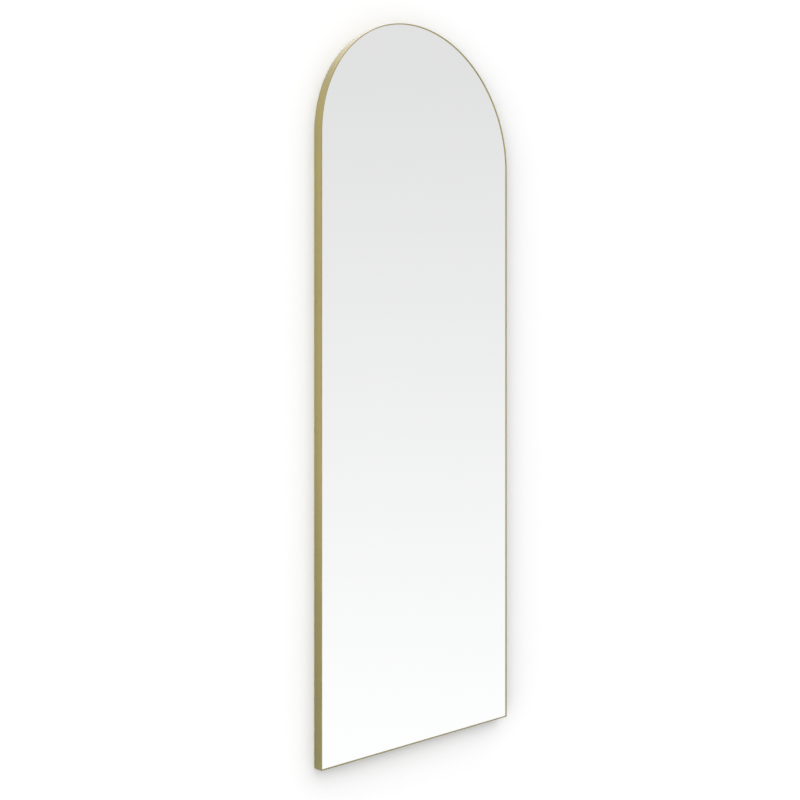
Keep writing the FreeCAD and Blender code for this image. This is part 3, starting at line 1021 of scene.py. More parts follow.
@dataclass(frozen=True)
class BrassFrame:
    """The bent hoop and the bottom rail: a slim lip and outer wall with a channel along the back."""

    outline: Outline
    lip_width: float = 2.0 * MM
    lip_thickness: float = 1.2 * MM
    outer_wall: float = 1.0 * MM
    channel_wall: float = 1.2 * MM
    channel_inset: float = 12.0 * MM
    channel_front: float = 15.0 * MM
    slot: Span = (4.0 * MM, 8.8 * MM)
    rounding: float = 0.35 * MM
    rounding_steps: int = 3

    @property
    def depth(self) -> float:
        """From the lip to the frame's back."""
        return self.outline.back - self.outline.front

    def section(self, form: Form, place: Callable[[float, float], Vector]) -> list[BMEdge]:
        """Draw the rounded section.

        Args:
            form: what it is drawn in.
            place: gives the point at an inset and a depth.

        Returns:
            The section's edges.
        """
        inner_face = self.channel_inset - self.channel_wall
        channel_floor = self.channel_front + self.channel_wall
        back_lip = self.depth - self.channel_wall
        near, far = self.slot
        corners = [
            (0, 0),
            (self.lip_width, 0),
            (self.lip_width, self.lip_thickness),
            (self.outer_wall, self.lip_thickness),
            (self.outer_wall, self.channel_front),
            (self.channel_inset, self.channel_front),
            (self.channel_inset, self.depth),
            (far, self.depth),
            (far, back_lip),
            (inner_face, back_lip),
            (inner_face, channel_floor),
            (self.outer_wall, channel_floor),
            (self.outer_wall, back_lip),
            (near, back_lip),
            (near, self.depth),
            (0, self.depth),
        ]
        face = form.panel([place(inset, depth) for inset, depth in corners])
        return form.outline(form.round_corners(face, self.rounding, self.rounding_steps))

    def mark_stock(self, form: Form, measure: Callable[[Vector], Vector]) -> None:
        """Note where each vertex lay on the straight metal.

        Args:
            form: the finished shape.
            measure: gives the way along, the inset and the depth at a point.
        """
        layer = form.mesh.verts.layers.float_vector.new(STOCK)
        for vert in form.mesh.verts:
            vert[layer] = measure(vert.co)

    def along_hoop(self, point: Vector) -> Vector:
        """Unroll the hoop.

        Args:
            point: a point on it.

        Returns:
            The way along it from its left foot, the inset and the depth.
        """
        shape = self.outline
        straight = shape.spring - shape.foot
        depth = point.y - shape.front
        if point.z > shape.spring:
            angle = math.atan2(point.z - shape.spring, -point.x)
            reach = math.hypot(point.x, point.z - shape.spring)
            return Vector((straight + angle * shape.half_width, shape.half_width - reach, depth))
        way = point.z - shape.foot
        if point.x > 0:
            way = 2 * straight + HALF_TURN * shape.half_width - way
        return Vector((way, shape.half_width - abs(point.x), depth))

    def along_rail(self, point: Vector) -> Vector:
        """The way along the rail from its left end, the inset and the depth at a point."""
        shape = self.outline
        return Vector((point.x + shape.half_width, point.z - shape.foot, point.y - shape.front))

    def corner(self) -> Vector:
        """The frame's lower left outer corner."""
        return Vector((-self.outline.half_width, self.outline.front, self.outline.foot))

    def hoop(self) -> Form:
        """Bend the left half of the hoop, saw its mitre and mirror it.

        Returns:
            The hoop.
        """
        form = Form()
        shape = self.outline
        start = self.section(form, lambda inset, depth: self.corner() + Vector((inset, depth, 0)))
        top = form.push(start, UP * (shape.spring - shape.foot))
        form.bend(top, shape.arch_centre, BACK, QUARTER_TURN, shape.arch_steps)
        form.saw(self.corner(), RIGHT - UP)
        form.reflect()
        self.mark_stock(form, self.along_hoop)
        return form

    def rail(self) -> Form:
        """Draw the left half of the bottom rail, saw its mitre and mirror it.

        Returns:
            The rail.
        """
        form = Form()
        start = self.section(form, lambda inset, depth: self.corner() + Vector((0, depth, inset)))
        form.push(start, RIGHT * self.outline.half_width)
        form.saw(self.corner(), UP - RIGHT)
        form.reflect()
        self.mark_stock(form, self.along_rail)
        return form

    def build(self) -> None:
        """Make and dress both pieces."""
        show("brass_hoop", self.hoop(), BRASS, ["frame_hoop"])
        show("brass_bottom_rail", self.rail(), BRASS, ["frame_bottom_rail"])


@dataclass(frozen=True)
class GlassPack:
    """The silvered pane, its bedding tape and the board that closes the back."""

    outline: Outline
    pane_inset: float = 1.4 * MM
    arris: float = 0.3 * MM
    tape_width: float = 0.55 * MM
    board_inset: float = 2.0 * MM

    def pane(self) -> Form:
        """Make the glass and its silver as one pane, with its sharp edges taken off.

        Returns:
            The pane.
        """
        low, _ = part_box("mirror_glass")
        _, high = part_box("silver_coating")
        form = self.outline.sheet(self.pane_inset, low.y, high.y)
        form.ease(self.arris, steps=1)
        return form

    def tape(self) -> Form:
        """The bedding tape behind the front lip."""
        low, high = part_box("glazing_tape")
        return self.outline.border(self.pane_inset, self.tape_width, low.y, high.y)

    def board(self) -> Form:
        """Make the backing board, with a soft painted edge.

        Returns:
            The board.
        """
        low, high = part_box("backing_board")
        form = self.outline.sheet(self.board_inset, low.y, high.y)
        form.ease(self.arris, steps=2)
        return form

    def build(self) -> None:
        """Make and dress the three pieces."""
        show("mirror_pane", self.pane(), SILVERED, ["mirror_glass", "silver_coating"])
        show("bedding_tape", self.tape(), TAPE, ["glazing_tape"])
        show("back_board", self.board(), BOARD, ["backing_board"])


@dataclass(frozen=True)
class CrossBar:
    """A shallow channel across the back, open to the front, with a plate across each end."""

    node: str
    web: float = 2.0 * MM
    leg: float = 1.6 * MM
    bend: float = 1.5 * MM
    tall: float = 40.0 * MM
    depth: float = 8.0 * MM
    plate: float = 1.6 * MM
    plate_rounding: float = 2.0 * MM
    bend_steps: int = 5
    edge: float = 0.2 * MM

    @property
    def middle(self) -> float:
        """The height of the bar's centre line."""
        low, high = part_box(self.node)
        return (low.z + high.z) / 2

    @property
    def front(self) -> float:
        """The y of the bar's open side."""
        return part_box(self.node)[0].y

    @property
    def back(self) -> float:
        """The y of the web's outer face."""
        return self.front + self.depth

    def channel(self) -> Form:
        """Make the bar itself, between its end plates.

        Returns:
            The channel.
        """
        form = Form()
        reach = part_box(self.node)[1].x - self.plate
        half = self.tall / 2
        inner = half - self.leg
        corners = [
            (self.front, -half),
            (self.back, -half),
            (self.back, half),
            (self.front, half),
            (self.front, inner),
            (self.back - self.web, inner),
            (self.back - self.web, -inner),
            (self.front, -inner),
        ]
        face = form.panel([Vector((-reach, y, self.middle + z)) for y, z in corners])
        form.thicken([face], RIGHT * 2 * reach)
        form.ease(
            self.bend, self.bend_steps,
            lambda edge: all(vert.co.y > self.back - MERGE_DISTANCE for vert in edge.verts)
            and run(edge, UP) < MERGE_DISTANCE,
        )
        return form

    def end_plate(self) -> Form:
        """Make the left end plate, with rounded corners.

        Returns:
            The plate.
        """
        low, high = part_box(self.node)
        form = Form()
        form.block(Vector((low.x, low.y, low.z)), Vector((low.x + self.plate, high.y, high.z)))
        form.ease(
            self.plate_rounding, self.bend_steps,
            lambda edge: run(edge, RIGHT) > self.plate / 2,
        )
        form.ease(self.edge, steps=1)
        return form

    def shape(self) -> Form:
        """Put the bar and both plates together.

        Returns:
            The whole bar.
        """
        form = self.channel()
        plate = self.end_plate()
        form.add(plate)
        form.add(plate, OTHER_SIDE)
        return form

    def build(self) -> None:
        """Make and dress the bar."""
        show(f"{self.node}_dressed", self.shape(), BAR_METAL, [self.node])


@dataclass(frozen=True)
class HangingBar(CrossBar):
    """The upper bar, with a keyhole on each side of its middle."""

    node: str = "hanging_bar"
    keyhole_x: float = 150.0 * MM
    entry_radius: float = 5.5 * MM
    slot_radius: float = 2.5 * MM
    travel: float = 12.0 * MM
    round_steps: int = 40
    lip: float = 0.35 * MM

    def keyhole(self) -> Form:
        """Make the keyhole's space: a round entry at height 0 with a slot above it.

        Returns:
            The space, which reaches past the web on both sides.
        """
        form = Form()
        joint_height = math.sqrt(self.entry_radius ** 2 - self.slot_radius ** 2)
        sweep = FULL_TURN - 2 * math.asin(self.slot_radius / self.entry_radius)
        y = self.back - 2 * self.web
        past_back = self.back + self.web
        right_joint = Vector((self.slot_radius, y, joint_height))
        edges = form.wire([right_joint, Vector((self.slot_radius, y, self.travel))])
        shoulder = edges[0].verts[1]
        form.bend([shoulder], Vector((0, y, self.travel)), BACK, -HALF_TURN, self.round_steps // 2)
        form.bend([edges[0].verts[0]], Vector((0, y, 0)), BACK, sweep, self.round_steps)
        bmesh.ops.remove_doubles(form.mesh, verts=form.mesh.verts, dist=MERGE_DISTANCE)
        ends = [vert for vert in form.mesh.verts if len(vert.link_edges) == 1]
        form.mesh.edges.new(ends)
        form.thicken(form.skin(form.mesh.edges), BACK * (past_back - y))
        return form

    def on_keyhole_rim(self, edge: BMEdge) -> bool:
        """Tell the edges round a keyhole on the bar's back.

        Args:
            edge: an edge of the bar.

        Returns:
            Whether it is one of them.
        """
        reach = self.entry_radius + self.travel
        return all(
            abs(vert.co.y - self.back) < MERGE_DISTANCE
            and abs(abs(vert.co.x) - self.keyhole_x) < reach
            and abs(vert.co.z) < self.tall / 2 - self.bend
            for vert in edge.verts
        )

    def channel(self) -> Form:
        """Make the bar and cut its keyholes, whose outer rims are eased.

        Returns:
            The channel with its keyholes.
        """
        bar = super().channel()
        for side in Side:
            tool = self.keyhole().place(Matrix.Translation((side.value * self.keyhole_x, 0, 0)))
            bar = bar.carved(tool, Carving.CUT)
        bar.ease(self.lip, chosen=self.on_keyhole_rim)
        return bar


@dataclass(frozen=True)
class BarScrews:
    """The pan head screws of one stile, driven outwards from inside the frame."""

    side: Side
    head_radius: float = 3.5 * MM
    head_height: float = 2.4 * MM
    shank_radius: float = 1.95 * MM
    tip_chamfer: float = 0.3 * MM
    dome_share: float = 0.6
    dome_steps: int = 6
    recess_arm: float = 0.44 * MM
    recess_reach: float = 1.75 * MM
    recess_depth: float = 1.2 * MM
    rise: float = 26.0 * MM
    steps: int = 32
    bars: tuple[str, ...] = ("hanging_bar", "brace_bar_middle", "brace_bar_lower")

    @property
    def node(self) -> str:
        """The node that these screws stand for."""
        return f"bar_screws_{self.side.word}"

    def screw(self) -> Form:
        """Make one screw on the X axis, its head from 0 to head_height and its shank to the left.

        Returns:
            The screw.
        """
        low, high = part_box(self.node)
        length = high.x - low.x - self.head_height
        form = Form()
        dome = self.head_height * self.dome_share
        rim = self.head_height - dome
        edges = form.wire([
            Vector((-length, 0, 0)),
            Vector((-length, 0, self.shank_radius - self.tip_chamfer)),
            Vector((-length + self.tip_chamfer, 0, self.shank_radius)),
            Vector((0, 0, self.shank_radius)),
            Vector((0, 0, self.head_radius)),
            Vector((rim, 0, self.head_radius)),
        ])
        shoulder = edges[-1].verts[1]
        centre = Vector((rim, 0, self.head_radius - dome))
        crown = form.bend([shoulder], centre, BACK, QUARTER_TURN, self.dome_steps)
        middle = form.mesh.verts.new((self.head_height, 0, 0))
        form.mesh.edges.new((verts_of(crown)[0], middle))
        form.lathe(Vector(), RIGHT, self.steps)
        return form

    def with_recess(self, screw: Form) -> Form:
        """Cut the cross recess into the head.

        Args:
            screw: the screw.

        Returns:
            The screw with its recess.
        """
        floor = self.head_height - self.recess_depth
        top = self.head_height + self.recess_depth
        for across, up in ((self.recess_reach, self.recess_arm), (self.recess_arm, self.recess_reach)):
            arm = Form()
            arm.block(Vector((floor, -across, -up)), Vector((top, across, up)))
            screw = screw.carved(arm, Carving.CUT)
        return screw

    def build(self) -> None:
        """Make and dress the screws of this side."""
        low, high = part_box(self.node)
        one = self.with_recess(self.screw())
        y = (low.y + high.y) / 2
        if self.side is Side.LEFT:
            seat = high.x - self.head_height
            turn = IN_PLACE
        else:
            seat = low.x + self.head_height
            turn = turned(HALF_TURN, UP)
        group = Form()
        for bar in self.bars:
            middle = CrossBar(bar).middle
            for z in (middle - self.rise, middle + self.rise):
                group.add(one, Matrix.Translation((seat, y, z)) @ turn)
        show(f"pan_head_screws_{self.side.word}", group, ZINC, [self.node])


@dataclass(frozen=True)
class RingHanger:
    """A riveted strap, curled round the straight leg of a swinging ring."""

    side: Side
    wire_radius: float = 1.75 * MM
    half_width: float = 15.25 * MM
    corner_radius: float = 3.0 * MM
    straight_drop: float = 9.0 * MM
    wire_sides: int = 24
    strap_half_width: float = 6.0 * MM
    strap_thickness: float = 1.2 * MM
    curl_turn: float = math.radians(292)
    rivet_drops: Span = (7.5 * MM, 15.0 * MM)
    rivet_radius: float = 3.0 * MM
    rivet_height: float = 1.2 * MM
    rivet_tail_radius: float = 2.6 * MM
    rivet_shank_radius: float = 1.6 * MM
    rivet_sides: int = 28
    dome_steps: int = 8
    corner_steps: int = 12
    bow_steps: int = 28
    curl_steps: int = 44
    tongue_steps: int = 20

    @property
    def axis(self) -> Vector:
        """The middle of the ring's hinge axis."""
        low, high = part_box(f"d_ring_{self.side.word}")
        return Vector(((low.x + high.x) / 2, (low.y + high.y) / 2, high.z - self.wire_radius))

    @property
    def bar_back(self) -> float:
        """The y of the hanging bar's back face, which the strap lies on."""
        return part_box(f"hanger_strap_{self.side.word}")[0].y

    def ring(self) -> Form:
        """Sweep the right half of the ring from the middle of its leg, and mirror it.

        Returns:
            The ring.
        """
        form = Form()
        x, y, top = self.axis
        leg = self.half_width - self.corner_radius
        turn = Matrix.Translation(self.axis) @ turned(QUARTER_TURN, BACK)
        bmesh.ops.create_circle(
            form.mesh, cap_ends=False, radius=self.wire_radius, segments=self.wire_sides, matrix=turn
        )
        leg_end = form.push(form.mesh.edges[:], RIGHT * leg)
        bend_centre = Vector((x + leg, y, top - self.corner_radius))
        side_top = edges_of(form.bend(leg_end, bend_centre, BACK, QUARTER_TURN, self.corner_steps))
        drop = self.straight_drop - self.corner_radius
        side_foot = form.push(side_top, UP * -drop)
        bow_centre = Vector((x, y, top - self.straight_drop))
        form.bend(side_foot, bow_centre, BACK, QUARTER_TURN, self.bow_steps)
        form.reflect(x)
        return form

    def strap(self) -> Form:
        """Roll a straight strip into an open curl at its top.

        Returns:
            The strip, whose lower end is still square.
        """
        x, y, top = self.axis
        middle_line = self.bar_back + self.strap_thickness / 2
        foot = top - self.rivet_drops[-1] - self.strap_half_width
        left = x - self.strap_half_width
        form = Form()
        strip = form.wire([Vector((left, middle_line, foot)), Vector((left, middle_line, top))])
        form.bend([strip[0].verts[1]], Vector((left, y, top)), RIGHT, -self.curl_turn, self.curl_steps)
        form.push(form.mesh.edges[:], RIGHT * 2 * self.strap_half_width)
        bmesh.ops.recalc_face_normals(form.mesh, faces=form.mesh.faces)
        bmesh.ops.solidify(form.mesh, geom=form.mesh.faces[:], thickness=self.strap_thickness)
        form.close_up()
        return form

    def tongue(self) -> Form:
        """Make the space that the strap keeps: straight sides with a round lower end.

        Returns:
            The space, which reaches well past the strip.
        """
        x, _, top = self.axis
        low = top - self.rivet_drops[-1]
        strap_width = 2 * self.strap_half_width
        y = self.bar_back - self.strap_half_width
        left = x - self.strap_half_width
        form = Form()
        edges = form.wire([
            Vector((x, y, top + strap_width)),
            Vector((left, y, top + strap_width)),
            Vector((left, y, low)),
        ])
        form.bend([edges[-1].verts[1]], Vector((x, y, low)), BACK, -QUARTER_TURN, self.tongue_steps)
        form.reflect(x)
        form.thicken(form.skin(form.mesh.edges), BACK * 2 * strap_width)
        return form

    def rivet(self, drop: float) -> Form:
        """Make a dome head with its shank and flat tail.

        Args:
            drop: how far below the ring's axis it sits.

        Returns:
            The rivet.
        """
        x = self.axis.x
        z = self.axis.z - drop
        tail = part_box(f"hanger_rivets_{self.side.word}")[0].y
        seat = self.bar_back + self.strap_thickness
        dome = (self.rivet_radius ** 2 + self.rivet_height ** 2) / (2 * self.rivet_height)
        points = [
            (0, tail),
            (self.rivet_tail_radius, tail),
            (self.rivet_tail_radius, tail + self.rivet_height),
            (self.rivet_shank_radius, tail + self.rivet_height),
            (self.rivet_shank_radius, seat),
            (self.rivet_radius, seat),
        ]
        form = Form()
        edges = form.wire([Vector((x + radius, y, z)) for radius, y in points])
        centre = Vector((x, seat + self.rivet_height - dome, z))
        sweep = math.asin(self.rivet_radius / dome)
        form.bend([edges[-1].verts[1]], centre, UP, sweep, self.dome_steps)
        form.lathe(Vector((x, 0, z)), BACK, self.rivet_sides)
        return form

    def rivets(self) -> Form:
        """Make the strap's rivets.

        Returns:
            Both of them.
        """
        group = Form()
        for drop in self.rivet_drops:
            group.add(self.rivet(drop))
        return group

    def build(self) -> None:
        """Make and dress the strap, its rivets and the ring."""
        word = self.side.word
        strap = self.strap().carved(self.tongue(), Carving.KEEP_INSIDE)
        show(f"curled_strap_{word}", strap, ZINC, [f"hanger_strap_{word}"])
        show(f"dome_rivets_{word}", self.rivets(), RIVET_METAL, [f"hanger_rivets_{word}"])
        body = Body.RING_LEFT if self.side is Side.LEFT else Body.RING_RIGHT
        show(f"ring_{word}", self.ring(), NICKEL, [f"d_ring_{word}"], body)


@dataclass(frozen=True)
class SoftFeet:
    """The rubber bumpers on the frame's back and the two pads under the bottom rail."""

    outline: Outline
    bumper_radius: float = 5.0 * MM
    bumper_rounding: float = 0.6 * MM
    stem_radius: float = 2.2 * MM
    stem_length: float = 2.2 * MM
    bumper_inset: float = 6.4 * MM
    stile_heights: Span = (60.0 * MM, 1230.0 * MM)
    arch_angles: Span = (50.0, 130.0)
    pad_length: float = 60.0 * MM
    pad_rounding: float = 2.0 * MM
    pad_edge: float = 0.2 * MM
    round_steps: int = 5
    bumper_sides: int = 36

    def bumper(self) -> Form:
        """Make one bumper on the Y axis at the bumper's inset, with its stem in the channel's slot.

        Returns:
            The bumper.
        """
        _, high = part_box("wall_bumpers")
        depth = self.outline.back - self.outline.front
        top = high.y - self.outline.front
        points = [
            (0, depth - self.stem_length),
            (self.stem_radius, depth - self.stem_length),
            (self.stem_radius, depth),
            (self.bumper_radius, depth),
            (self.bumper_radius, top - self.bumper_rounding),
        ]
        form = Form()
        edges = form.wire([Vector((self.bumper_inset + radius, y, 0)) for radius, y in points])
        flat_radius = self.bumper_radius - self.bumper_rounding
        centre = Vector((self.bumper_inset + flat_radius, top - self.bumper_rounding, 0))
        crown = form.bend([edges[-1].verts[1]], centre, UP, QUARTER_TURN, self.round_steps)
        middle = form.mesh.verts.new((self.bumper_inset, top, 0))
        form.mesh.edges.new((verts_of(crown)[0], middle))
        form.lathe(Vector((self.bumper_inset, 0, 0)), BACK, self.bumper_sides)
        return form

    def bumpers(self) -> Form:
        """Make all the bumpers.

        Returns:
            The six bumpers.
        """
        one = self.bumper()
        group = Form()
        for height in self.stile_heights:
            place = self.outline.on_stile(height)
            group.add(one, place)
            group.add(one, OTHER_SIDE @ place)
        for degrees in self.arch_angles:
            group.add(one, self.outline.on_arch(degrees))
        return group

    def pads(self) -> Form:
        """Make the two pads, with rounded corners.

        Returns:
            The pads.
        """
        low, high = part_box("floor_pads")
        group = Form()
        for start in (low.x, high.x - self.pad_length):
            pad = Form()
            pad.block(Vector((start, low.y, low.z)), Vector((start + self.pad_length, high.y, high.z)))
            pad.ease(
                self.pad_rounding, self.round_steps,
                lambda edge: run(edge, UP) > (high.z - low.z) / 2,
            )
            pad.ease(self.pad_edge)
            group.add(pad)
        return group

    def build(self) -> None:
        """Make and dress the bumpers and the pads."""
        show("rubber_bumpers", self.bumpers(), BUMPER_RUBBER, ["wall_bumpers"])
        show("rubber_floor_pads", self.pads(), PAD_RUBBER, ["floor_pads"])


@dataclass(frozen=True)
class HiddenHardware:
    """The nodes that stay as they are and only get a finish."""

    finishes: tuple[tuple[Finish, tuple[str, ...]], ...] = (
        (KEY_METAL, ("corner_key_left", "corner_key_right")),
        (ZINC, ("corner_plate_left", "corner_plate_right", "bar_nut_plates_left", "bar_nut_plates_right")),
        (OXIDE, ("corner_set_screws_left", "corner_set_screws_right")),
        (SPRING, ("spring_clips_left", "spring_clips_right", "spring_clips_arch", "spring_clips_rail")),
        (PACKER_RUBBER, ("setting_blocks", "edge_spacers")),
        (FOAM, ("foam_tape",)),
        (FILM, ("safety_film",)),
    )

    def build(self) -> None:
        """Dress each node."""
        for finish, names in self.finishes:
            for name in names:
                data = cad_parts[name].data
                data.materials.clear()
                data.materials.append(finish.material())
                LOG.info("%s: as packed, %s", name, finish.name)


# The studio


class StageNodes(NodeWork):
    """The nodes of a backdrop or of the room's light."""

    def __init__(self, owner: bpy.types.Material | bpy.types.World) -> None:
        """Start with nothing but the kinds of rays."""
        super().__init__(owner)
        self.path = self.node("ShaderNodeLightPath").outputs

    def blend(self, share: Value, off: Value, on: Value) -> Socket:
        """Blend two values.

        Args:
            share: how much of the second one there is.
            off: the first value.
            on: the second value.

        Returns:
            The blended value.
        """
        gain = self.maths("MULTIPLY", share, self.maths("SUBTRACT", on, off))
        return self.maths("ADD", off, gain)

    def first_hand(self, ray: str) -> Socket:
        """1 on one kind of ray, as long as it hasn't bounced off anything matt before."""
        direct = self.maths("LESS_THAN", self.path["Diffuse Depth"], MATT_BOUNCE)
        return self.maths("MULTIPLY", self.path[ray], direct)

    def light(self, kind: str, strength: Value) -> Socket:
        """Make white light.

        Args:
            kind: the light's node.
            strength: how strong it is.

        Returns:
            The shader.
        """
        node = self.node(kind)
        self.fill(node.inputs["Color"], (1.0, 1.0, 1.0, 1.0))
        self.fill(node.inputs["Strength"], strength)
        return node.outputs[0]

    def paint(self, lightness: float, glow: Value) -> Socket:
        """Grey or white paint that also glows a little.

        Args:
            lightness: of the paint, from 0 to 1.
            glow: how strong the glow is.

        Returns:
            The shader.
        """
        matt = self.node("ShaderNodeBsdfDiffuse")
        self.fill(matt.inputs["Color"], (lightness, lightness, lightness, 1.0))
        both = self.node("ShaderNodeAddShader")
        self.fill(both.inputs[0], matt.outputs["BSDF"])
        self.fill(both.inputs[1], self.light("ShaderNodeEmission", glow))
        return both.outputs["Shader"]

    def see_through(self, share: Value, surface: Socket) -> Socket:
        """Make a surface clear.

        Args:
            share: how clear it is, from 0 to 1.
            surface: its shader.

        Returns:
            The blended shader.
        """
        node = self.node("ShaderNodeMixShader")
        self.fill(node.inputs["Fac"], share)
        self.fill(node.inputs[1], surface)
        self.fill(node.inputs[2], self.node("ShaderNodeBsdfTransparent").outputs["BSDF"])
        return node.outputs["Shader"]

    def finish(self, kind: str, surface: Socket) -> None:
        """Join the last shader to the output."""
        self.fill(self.node(kind).inputs["Surface"], surface)


@dataclass(frozen=True)
class Backdrop:
    """A white wall that the mirror hangs on, open behind the mirror, and a pale floor below it."""

    outline: Outline
    wall_y: float
    wall_reach: float = 12.0
    opening_inset: float = 3.5 * MM
    wall_paint: float = 0.80
    wall_glow: float = 0.01
    metal_glow: float = 0.10
    crown_glow: float = 0.24
    crown_stretch: Span = (0.145, 0.09)
    foot_stretch: float = 1.1
    floor_drop: float = 0.12
    floor_paint: float = 0.5
    floor_glow: float = 0.42
    floor_solid: float = 0.9
    floor_fade: float = 1.7
    floor_reach: float = 3.4
    floor_sides: int = 64

    def metal_sees(self, nodes: StageNodes) -> Socket:
        """Work out how much brighter the metal sees the wall, which is most near the crown.

        Args:
            nodes: the wall's nodes.

        Returns:
            The extra glow.
        """
        height = nodes.parts(nodes.coordinates("Object"))["Z"]
        foot, crown = self.outline.foot, self.outline.crown
        low = nodes.ramp(height, (foot, foot + self.foot_stretch), (0.0, self.metal_glow))
        start, end = (crown - down for down in self.crown_stretch)
        high = nodes.ramp(height, (start, end), (0.0, self.crown_glow))
        return nodes.maths("MULTIPLY", nodes.maths("ADD", low, high), nodes.first_hand("Is Glossy Ray"))

    def wall_material(self) -> bpy.types.Material:
        """Make white paint that shows soft shadows and is seen from the front only.

        Returns:
            The material.
        """
        material = bpy.data.materials.new("studio_wall")
        nodes = StageNodes(material)
        seen = nodes.maths("MAXIMUM", nodes.path["Is Camera Ray"], nodes.path["Is Transmission Ray"])
        glow = nodes.maths("ADD", nodes.maths("MULTIPLY", seen, self.wall_glow), self.metal_sees(nodes))
        behind = nodes.node("ShaderNodeNewGeometry").outputs["Backfacing"]
        surface = nodes.see_through(behind, nodes.paint(self.wall_paint, glow))
        nodes.finish("ShaderNodeOutputMaterial", surface)
        return material

    def floor_material(self) -> bpy.types.Material:
        """Make pale paint that keeps the mirror's shadow and fades out all round.

        Returns:
            The material.
        """
        material = bpy.data.materials.new("studio_floor")
        nodes = StageNodes(material)
        place = nodes.parts(nodes.coordinates("Object"))
        across = nodes.maths("POWER", place["X"], 2.0)
        along = nodes.maths("POWER", place["Y"], 2.0)
        distance = nodes.maths("SQRT", nodes.maths("ADD", across, along))
        faded = nodes.ramp(distance, (self.floor_solid, self.floor_fade))
        unseen = nodes.maths("SUBTRACT", 1.0, nodes.path["Is Camera Ray"])
        clear = nodes.maths("MAXIMUM", faded, unseen)
        surface = nodes.see_through(clear, nodes.paint(self.floor_paint, self.floor_glow))
        nodes.finish("ShaderNodeOutputMaterial", surface)
        return material

    def wall(self) -> Form:
        """Make the wall, with an opening of the mirror's outline.

        Returns:
            The wall, whose face looks to the front.
        """
        form = Form()
        rim = self.outline.edges(form, self.opening_inset, self.wall_y - self.outline.front)
        corner = Vector((-self.wall_reach, self.wall_y, -self.wall_reach))
        side = 2 * self.wall_reach
        ways = (Vector(), RIGHT * side, (RIGHT + UP) * side, UP * side)
        border = form.outline(form.panel([corner + way for way in ways]))
        bmesh.ops.triangle_fill(form.mesh, edges=rim + border, use_beauty=True, normal=-BACK)
        for face in form.mesh.faces:
            face.normal_update()
            if face.normal.y > 0:
                face.normal_flip()
        return form

    def floor(self) -> Form:
        """Make the floor, round the mirror's foot.

        Returns:
            The floor.
        """
        form = Form()
        level = Matrix.Translation((0, 0, self.outline.foot - self.floor_drop))
        bmesh.ops.create_circle(
            form.mesh, cap_ends=True, radius=self.floor_reach, segments=self.floor_sides, matrix=level
        )
        return form

    def build(self) -> None:
        """Put up the wall and lay the floor."""
        wall = self.wall().as_object("studio_wall")
        wall.data.materials.append(self.wall_material())
        floor = self.floor().as_object("studio_floor")
        floor.data.materials.append(self.floor_material())
        floor.visible_diffuse = False
        floor.visible_glossy = False
        floor.visible_shadow = False


@dataclass(frozen=True)
class Lamp:
    """A soft square lamp behind the mirror that points at it."""

    name: str
    place: tuple[float, float, float]
    target: tuple[float, float, float]
    size: float
    watts: float

    def build(self) -> None:
        """Hang the lamp."""
        data = bpy.data.lights.new(self.name, "AREA")
        data.shape = "SQUARE"
        data.size = self.size
        data.energy = self.watts
        lamp = bpy.data.objects.new(self.name, data)
        bpy.context.scene.collection.objects.link(lamp)
        lamp.location = self.place
        aim = Vector(self.target) - Vector(self.place)
        lamp.rotation_euler = aim.to_track_quat("-Z", "Y").to_euler()
        lamp.visible_camera = False


@dataclass(frozen=True)
class SoftLight:
    """Light from round about one side of the room, weaker the further it is from that side's middle."""

    axis: str
    sign: float
    power: float
    strength: float

    def share(self, nodes: StageNodes, way: bpy.types.NodeOutputs) -> Socket:
        """How much light comes from a way."""
        near = nodes.maths("MAXIMUM", nodes.maths("MULTIPLY", way[self.axis], self.sign), 0.0)
        return nodes.maths("MULTIPLY", nodes.maths("POWER", near, self.power), self.strength)


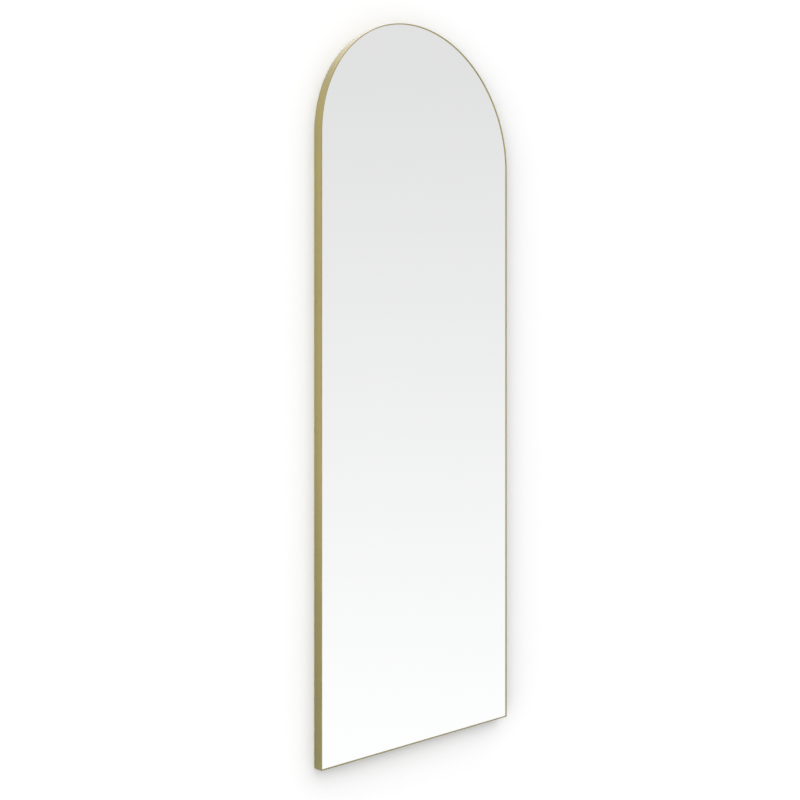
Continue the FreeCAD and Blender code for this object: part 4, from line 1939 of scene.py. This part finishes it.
@dataclass(frozen=True)
class Daylight:
    """The white room: its light comes mostly from above and the left, and glass and metal see it smooth."""

    everywhere: float = 0.09
    sides: tuple[SoftLight, ...] = (
        SoftLight("Z", sign=1.0, power=1.0, strength=2.59),
        SoftLight("Z", sign=-1.0, power=2.0, strength=0.85),
        SoftLight("X", sign=1.0, power=2.0, strength=0.79),
        SoftLight("X", sign=-1.0, power=4.0, strength=6.74),
    )
    off_metal: float = 0.3
    above: float = 0.775
    level: float = 0.89
    below: float = 1.013
    reach: float = 0.30
    rear_turn: Span = (0.05, 0.35)
    rear_lit: float = 0.55
    rear_below: float = 0.16
    rear_above: float = 0.85

    def falling(self, nodes: StageNodes, way: bpy.types.NodeOutputs) -> Socket:
        """Work out the light that falls on matt surfaces, weaker where it gets there by way of metal.

        Args:
            nodes: the room's nodes.
            way: the way to the light.

        Returns:
            How strong it is.
        """
        total: Value = self.everywhere
        for side in self.sides:
            total = nodes.maths("ADD", side.share(nodes, way), total)
        kept = nodes.ramp(nodes.path["Is Glossy Ray"], (0.0, 1.0), (1.0, self.off_metal))
        return nodes.maths("MULTIPLY", total, kept)

    def mirrored(self, nodes: StageNodes, way: bpy.types.NodeOutputs, rear: Socket) -> Socket:
        """Work out the smooth light that glass and metal see.

        Args:
            nodes: the room's nodes.
            way: the way to the light.
            rear: 1 in the room's rear half.

        Returns:
            How strong it is.
        """
        lower = nodes.ramp(way["Z"], (-self.reach, 0.0), (self.below, self.level))
        upper = nodes.ramp(way["Z"], (0.0, self.reach), (0.0, self.above - self.level))
        behind = nodes.ramp(way["Z"], (-self.reach, 2 * self.reach), (self.rear_below, self.rear_above))
        return nodes.blend(rear, nodes.maths("ADD", lower, upper), behind)

    def build(self) -> None:
        """Make the world. Its rear half only lights and shows in the mirror's back."""
        world = bpy.data.worlds.new("white_room")
        bpy.context.scene.world = world
        nodes = StageNodes(world)
        way = nodes.parts(nodes.coordinates("Generated"))
        rear = nodes.ramp(way["Y"], self.rear_turn)
        light = nodes.blend(rear, self.falling(nodes, way), self.rear_lit)
        glossy = nodes.first_hand("Is Glossy Ray")
        through = nodes.first_hand("Is Transmission Ray")
        seen = nodes.maths("MAXIMUM", glossy, through)
        indirect = nodes.blend(seen, light, self.mirrored(nodes, way, rear))
        strength = nodes.blend(nodes.path["Is Camera Ray"], indirect, 1.0)
        nodes.finish("ShaderNodeOutputWorld", nodes.light("ShaderNodeBackground", strength))


@dataclass(frozen=True)
class Viewpoint:
    """The camera at the photograph's place: level, to the mirror's left."""

    outline: Outline
    across: float = -1.73328
    before: float = 1.84693
    above_foot: float = 0.81251
    turn: float = math.radians(42.0285)
    lens: float = 47.919
    sensor: float = 36.0

    def build(self) -> None:
        """Set up the camera."""
        data = bpy.data.cameras.new("photograph_view")
        data.lens = self.lens
        data.sensor_width = self.sensor
        camera = bpy.data.objects.new("photograph_view", data)
        bpy.context.scene.collection.objects.link(camera)
        camera.location = (self.across, self.outline.front - self.before, self.outline.foot + self.above_foot)
        camera.rotation_euler = (QUARTER_TURN, 0, -self.turn)
        bpy.context.scene.camera = camera


@dataclass(frozen=True)
class Studio:
    """Everything round the mirror: camera, room, lamps and backdrop."""

    outline: Outline
    lamps: tuple[Lamp, ...] = (
        Lamp("back_lamp", place=(1.3, 1.9, 1.6), target=(0.0, 0.0, -0.4), size=1.4, watts=16.0),
        Lamp("back_fill", place=(-1.8, 1.5, -0.2), target=(0.0, 0.0, -0.5), size=1.2, watts=6.0),
    )

    def build(self) -> None:
        """Set up the whole studio."""
        bpy.context.scene.view_settings.view_transform = "Standard"
        Viewpoint(self.outline).build()
        Daylight().build()
        for lamp in self.lamps:
            lamp.build()
        Backdrop(self.outline, wall_y=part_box("wall_bumpers")[1].y).build()


def note_sizes() -> None:
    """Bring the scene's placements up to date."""
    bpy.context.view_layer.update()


def main() -> None:
    """Build the studio, then every sub-assembly of the mirror in order."""
    logging.basicConfig(level=logging.INFO, format="%(name)s: %(message)s")
    outline = Outline.of_frame()
    Studio(outline).build()
    BrassFrame(outline).build()
    GlassPack(outline).build()
    HangingBar().build()
    CrossBar("brace_bar_middle").build()
    CrossBar("brace_bar_lower").build()
    for side in Side:
        BarScrews(side).build()
        RingHanger(side).build()
    SoftFeet(outline).build()
    HiddenHardware().build()
    note_sizes()


if __name__ == "__main__":
    main()
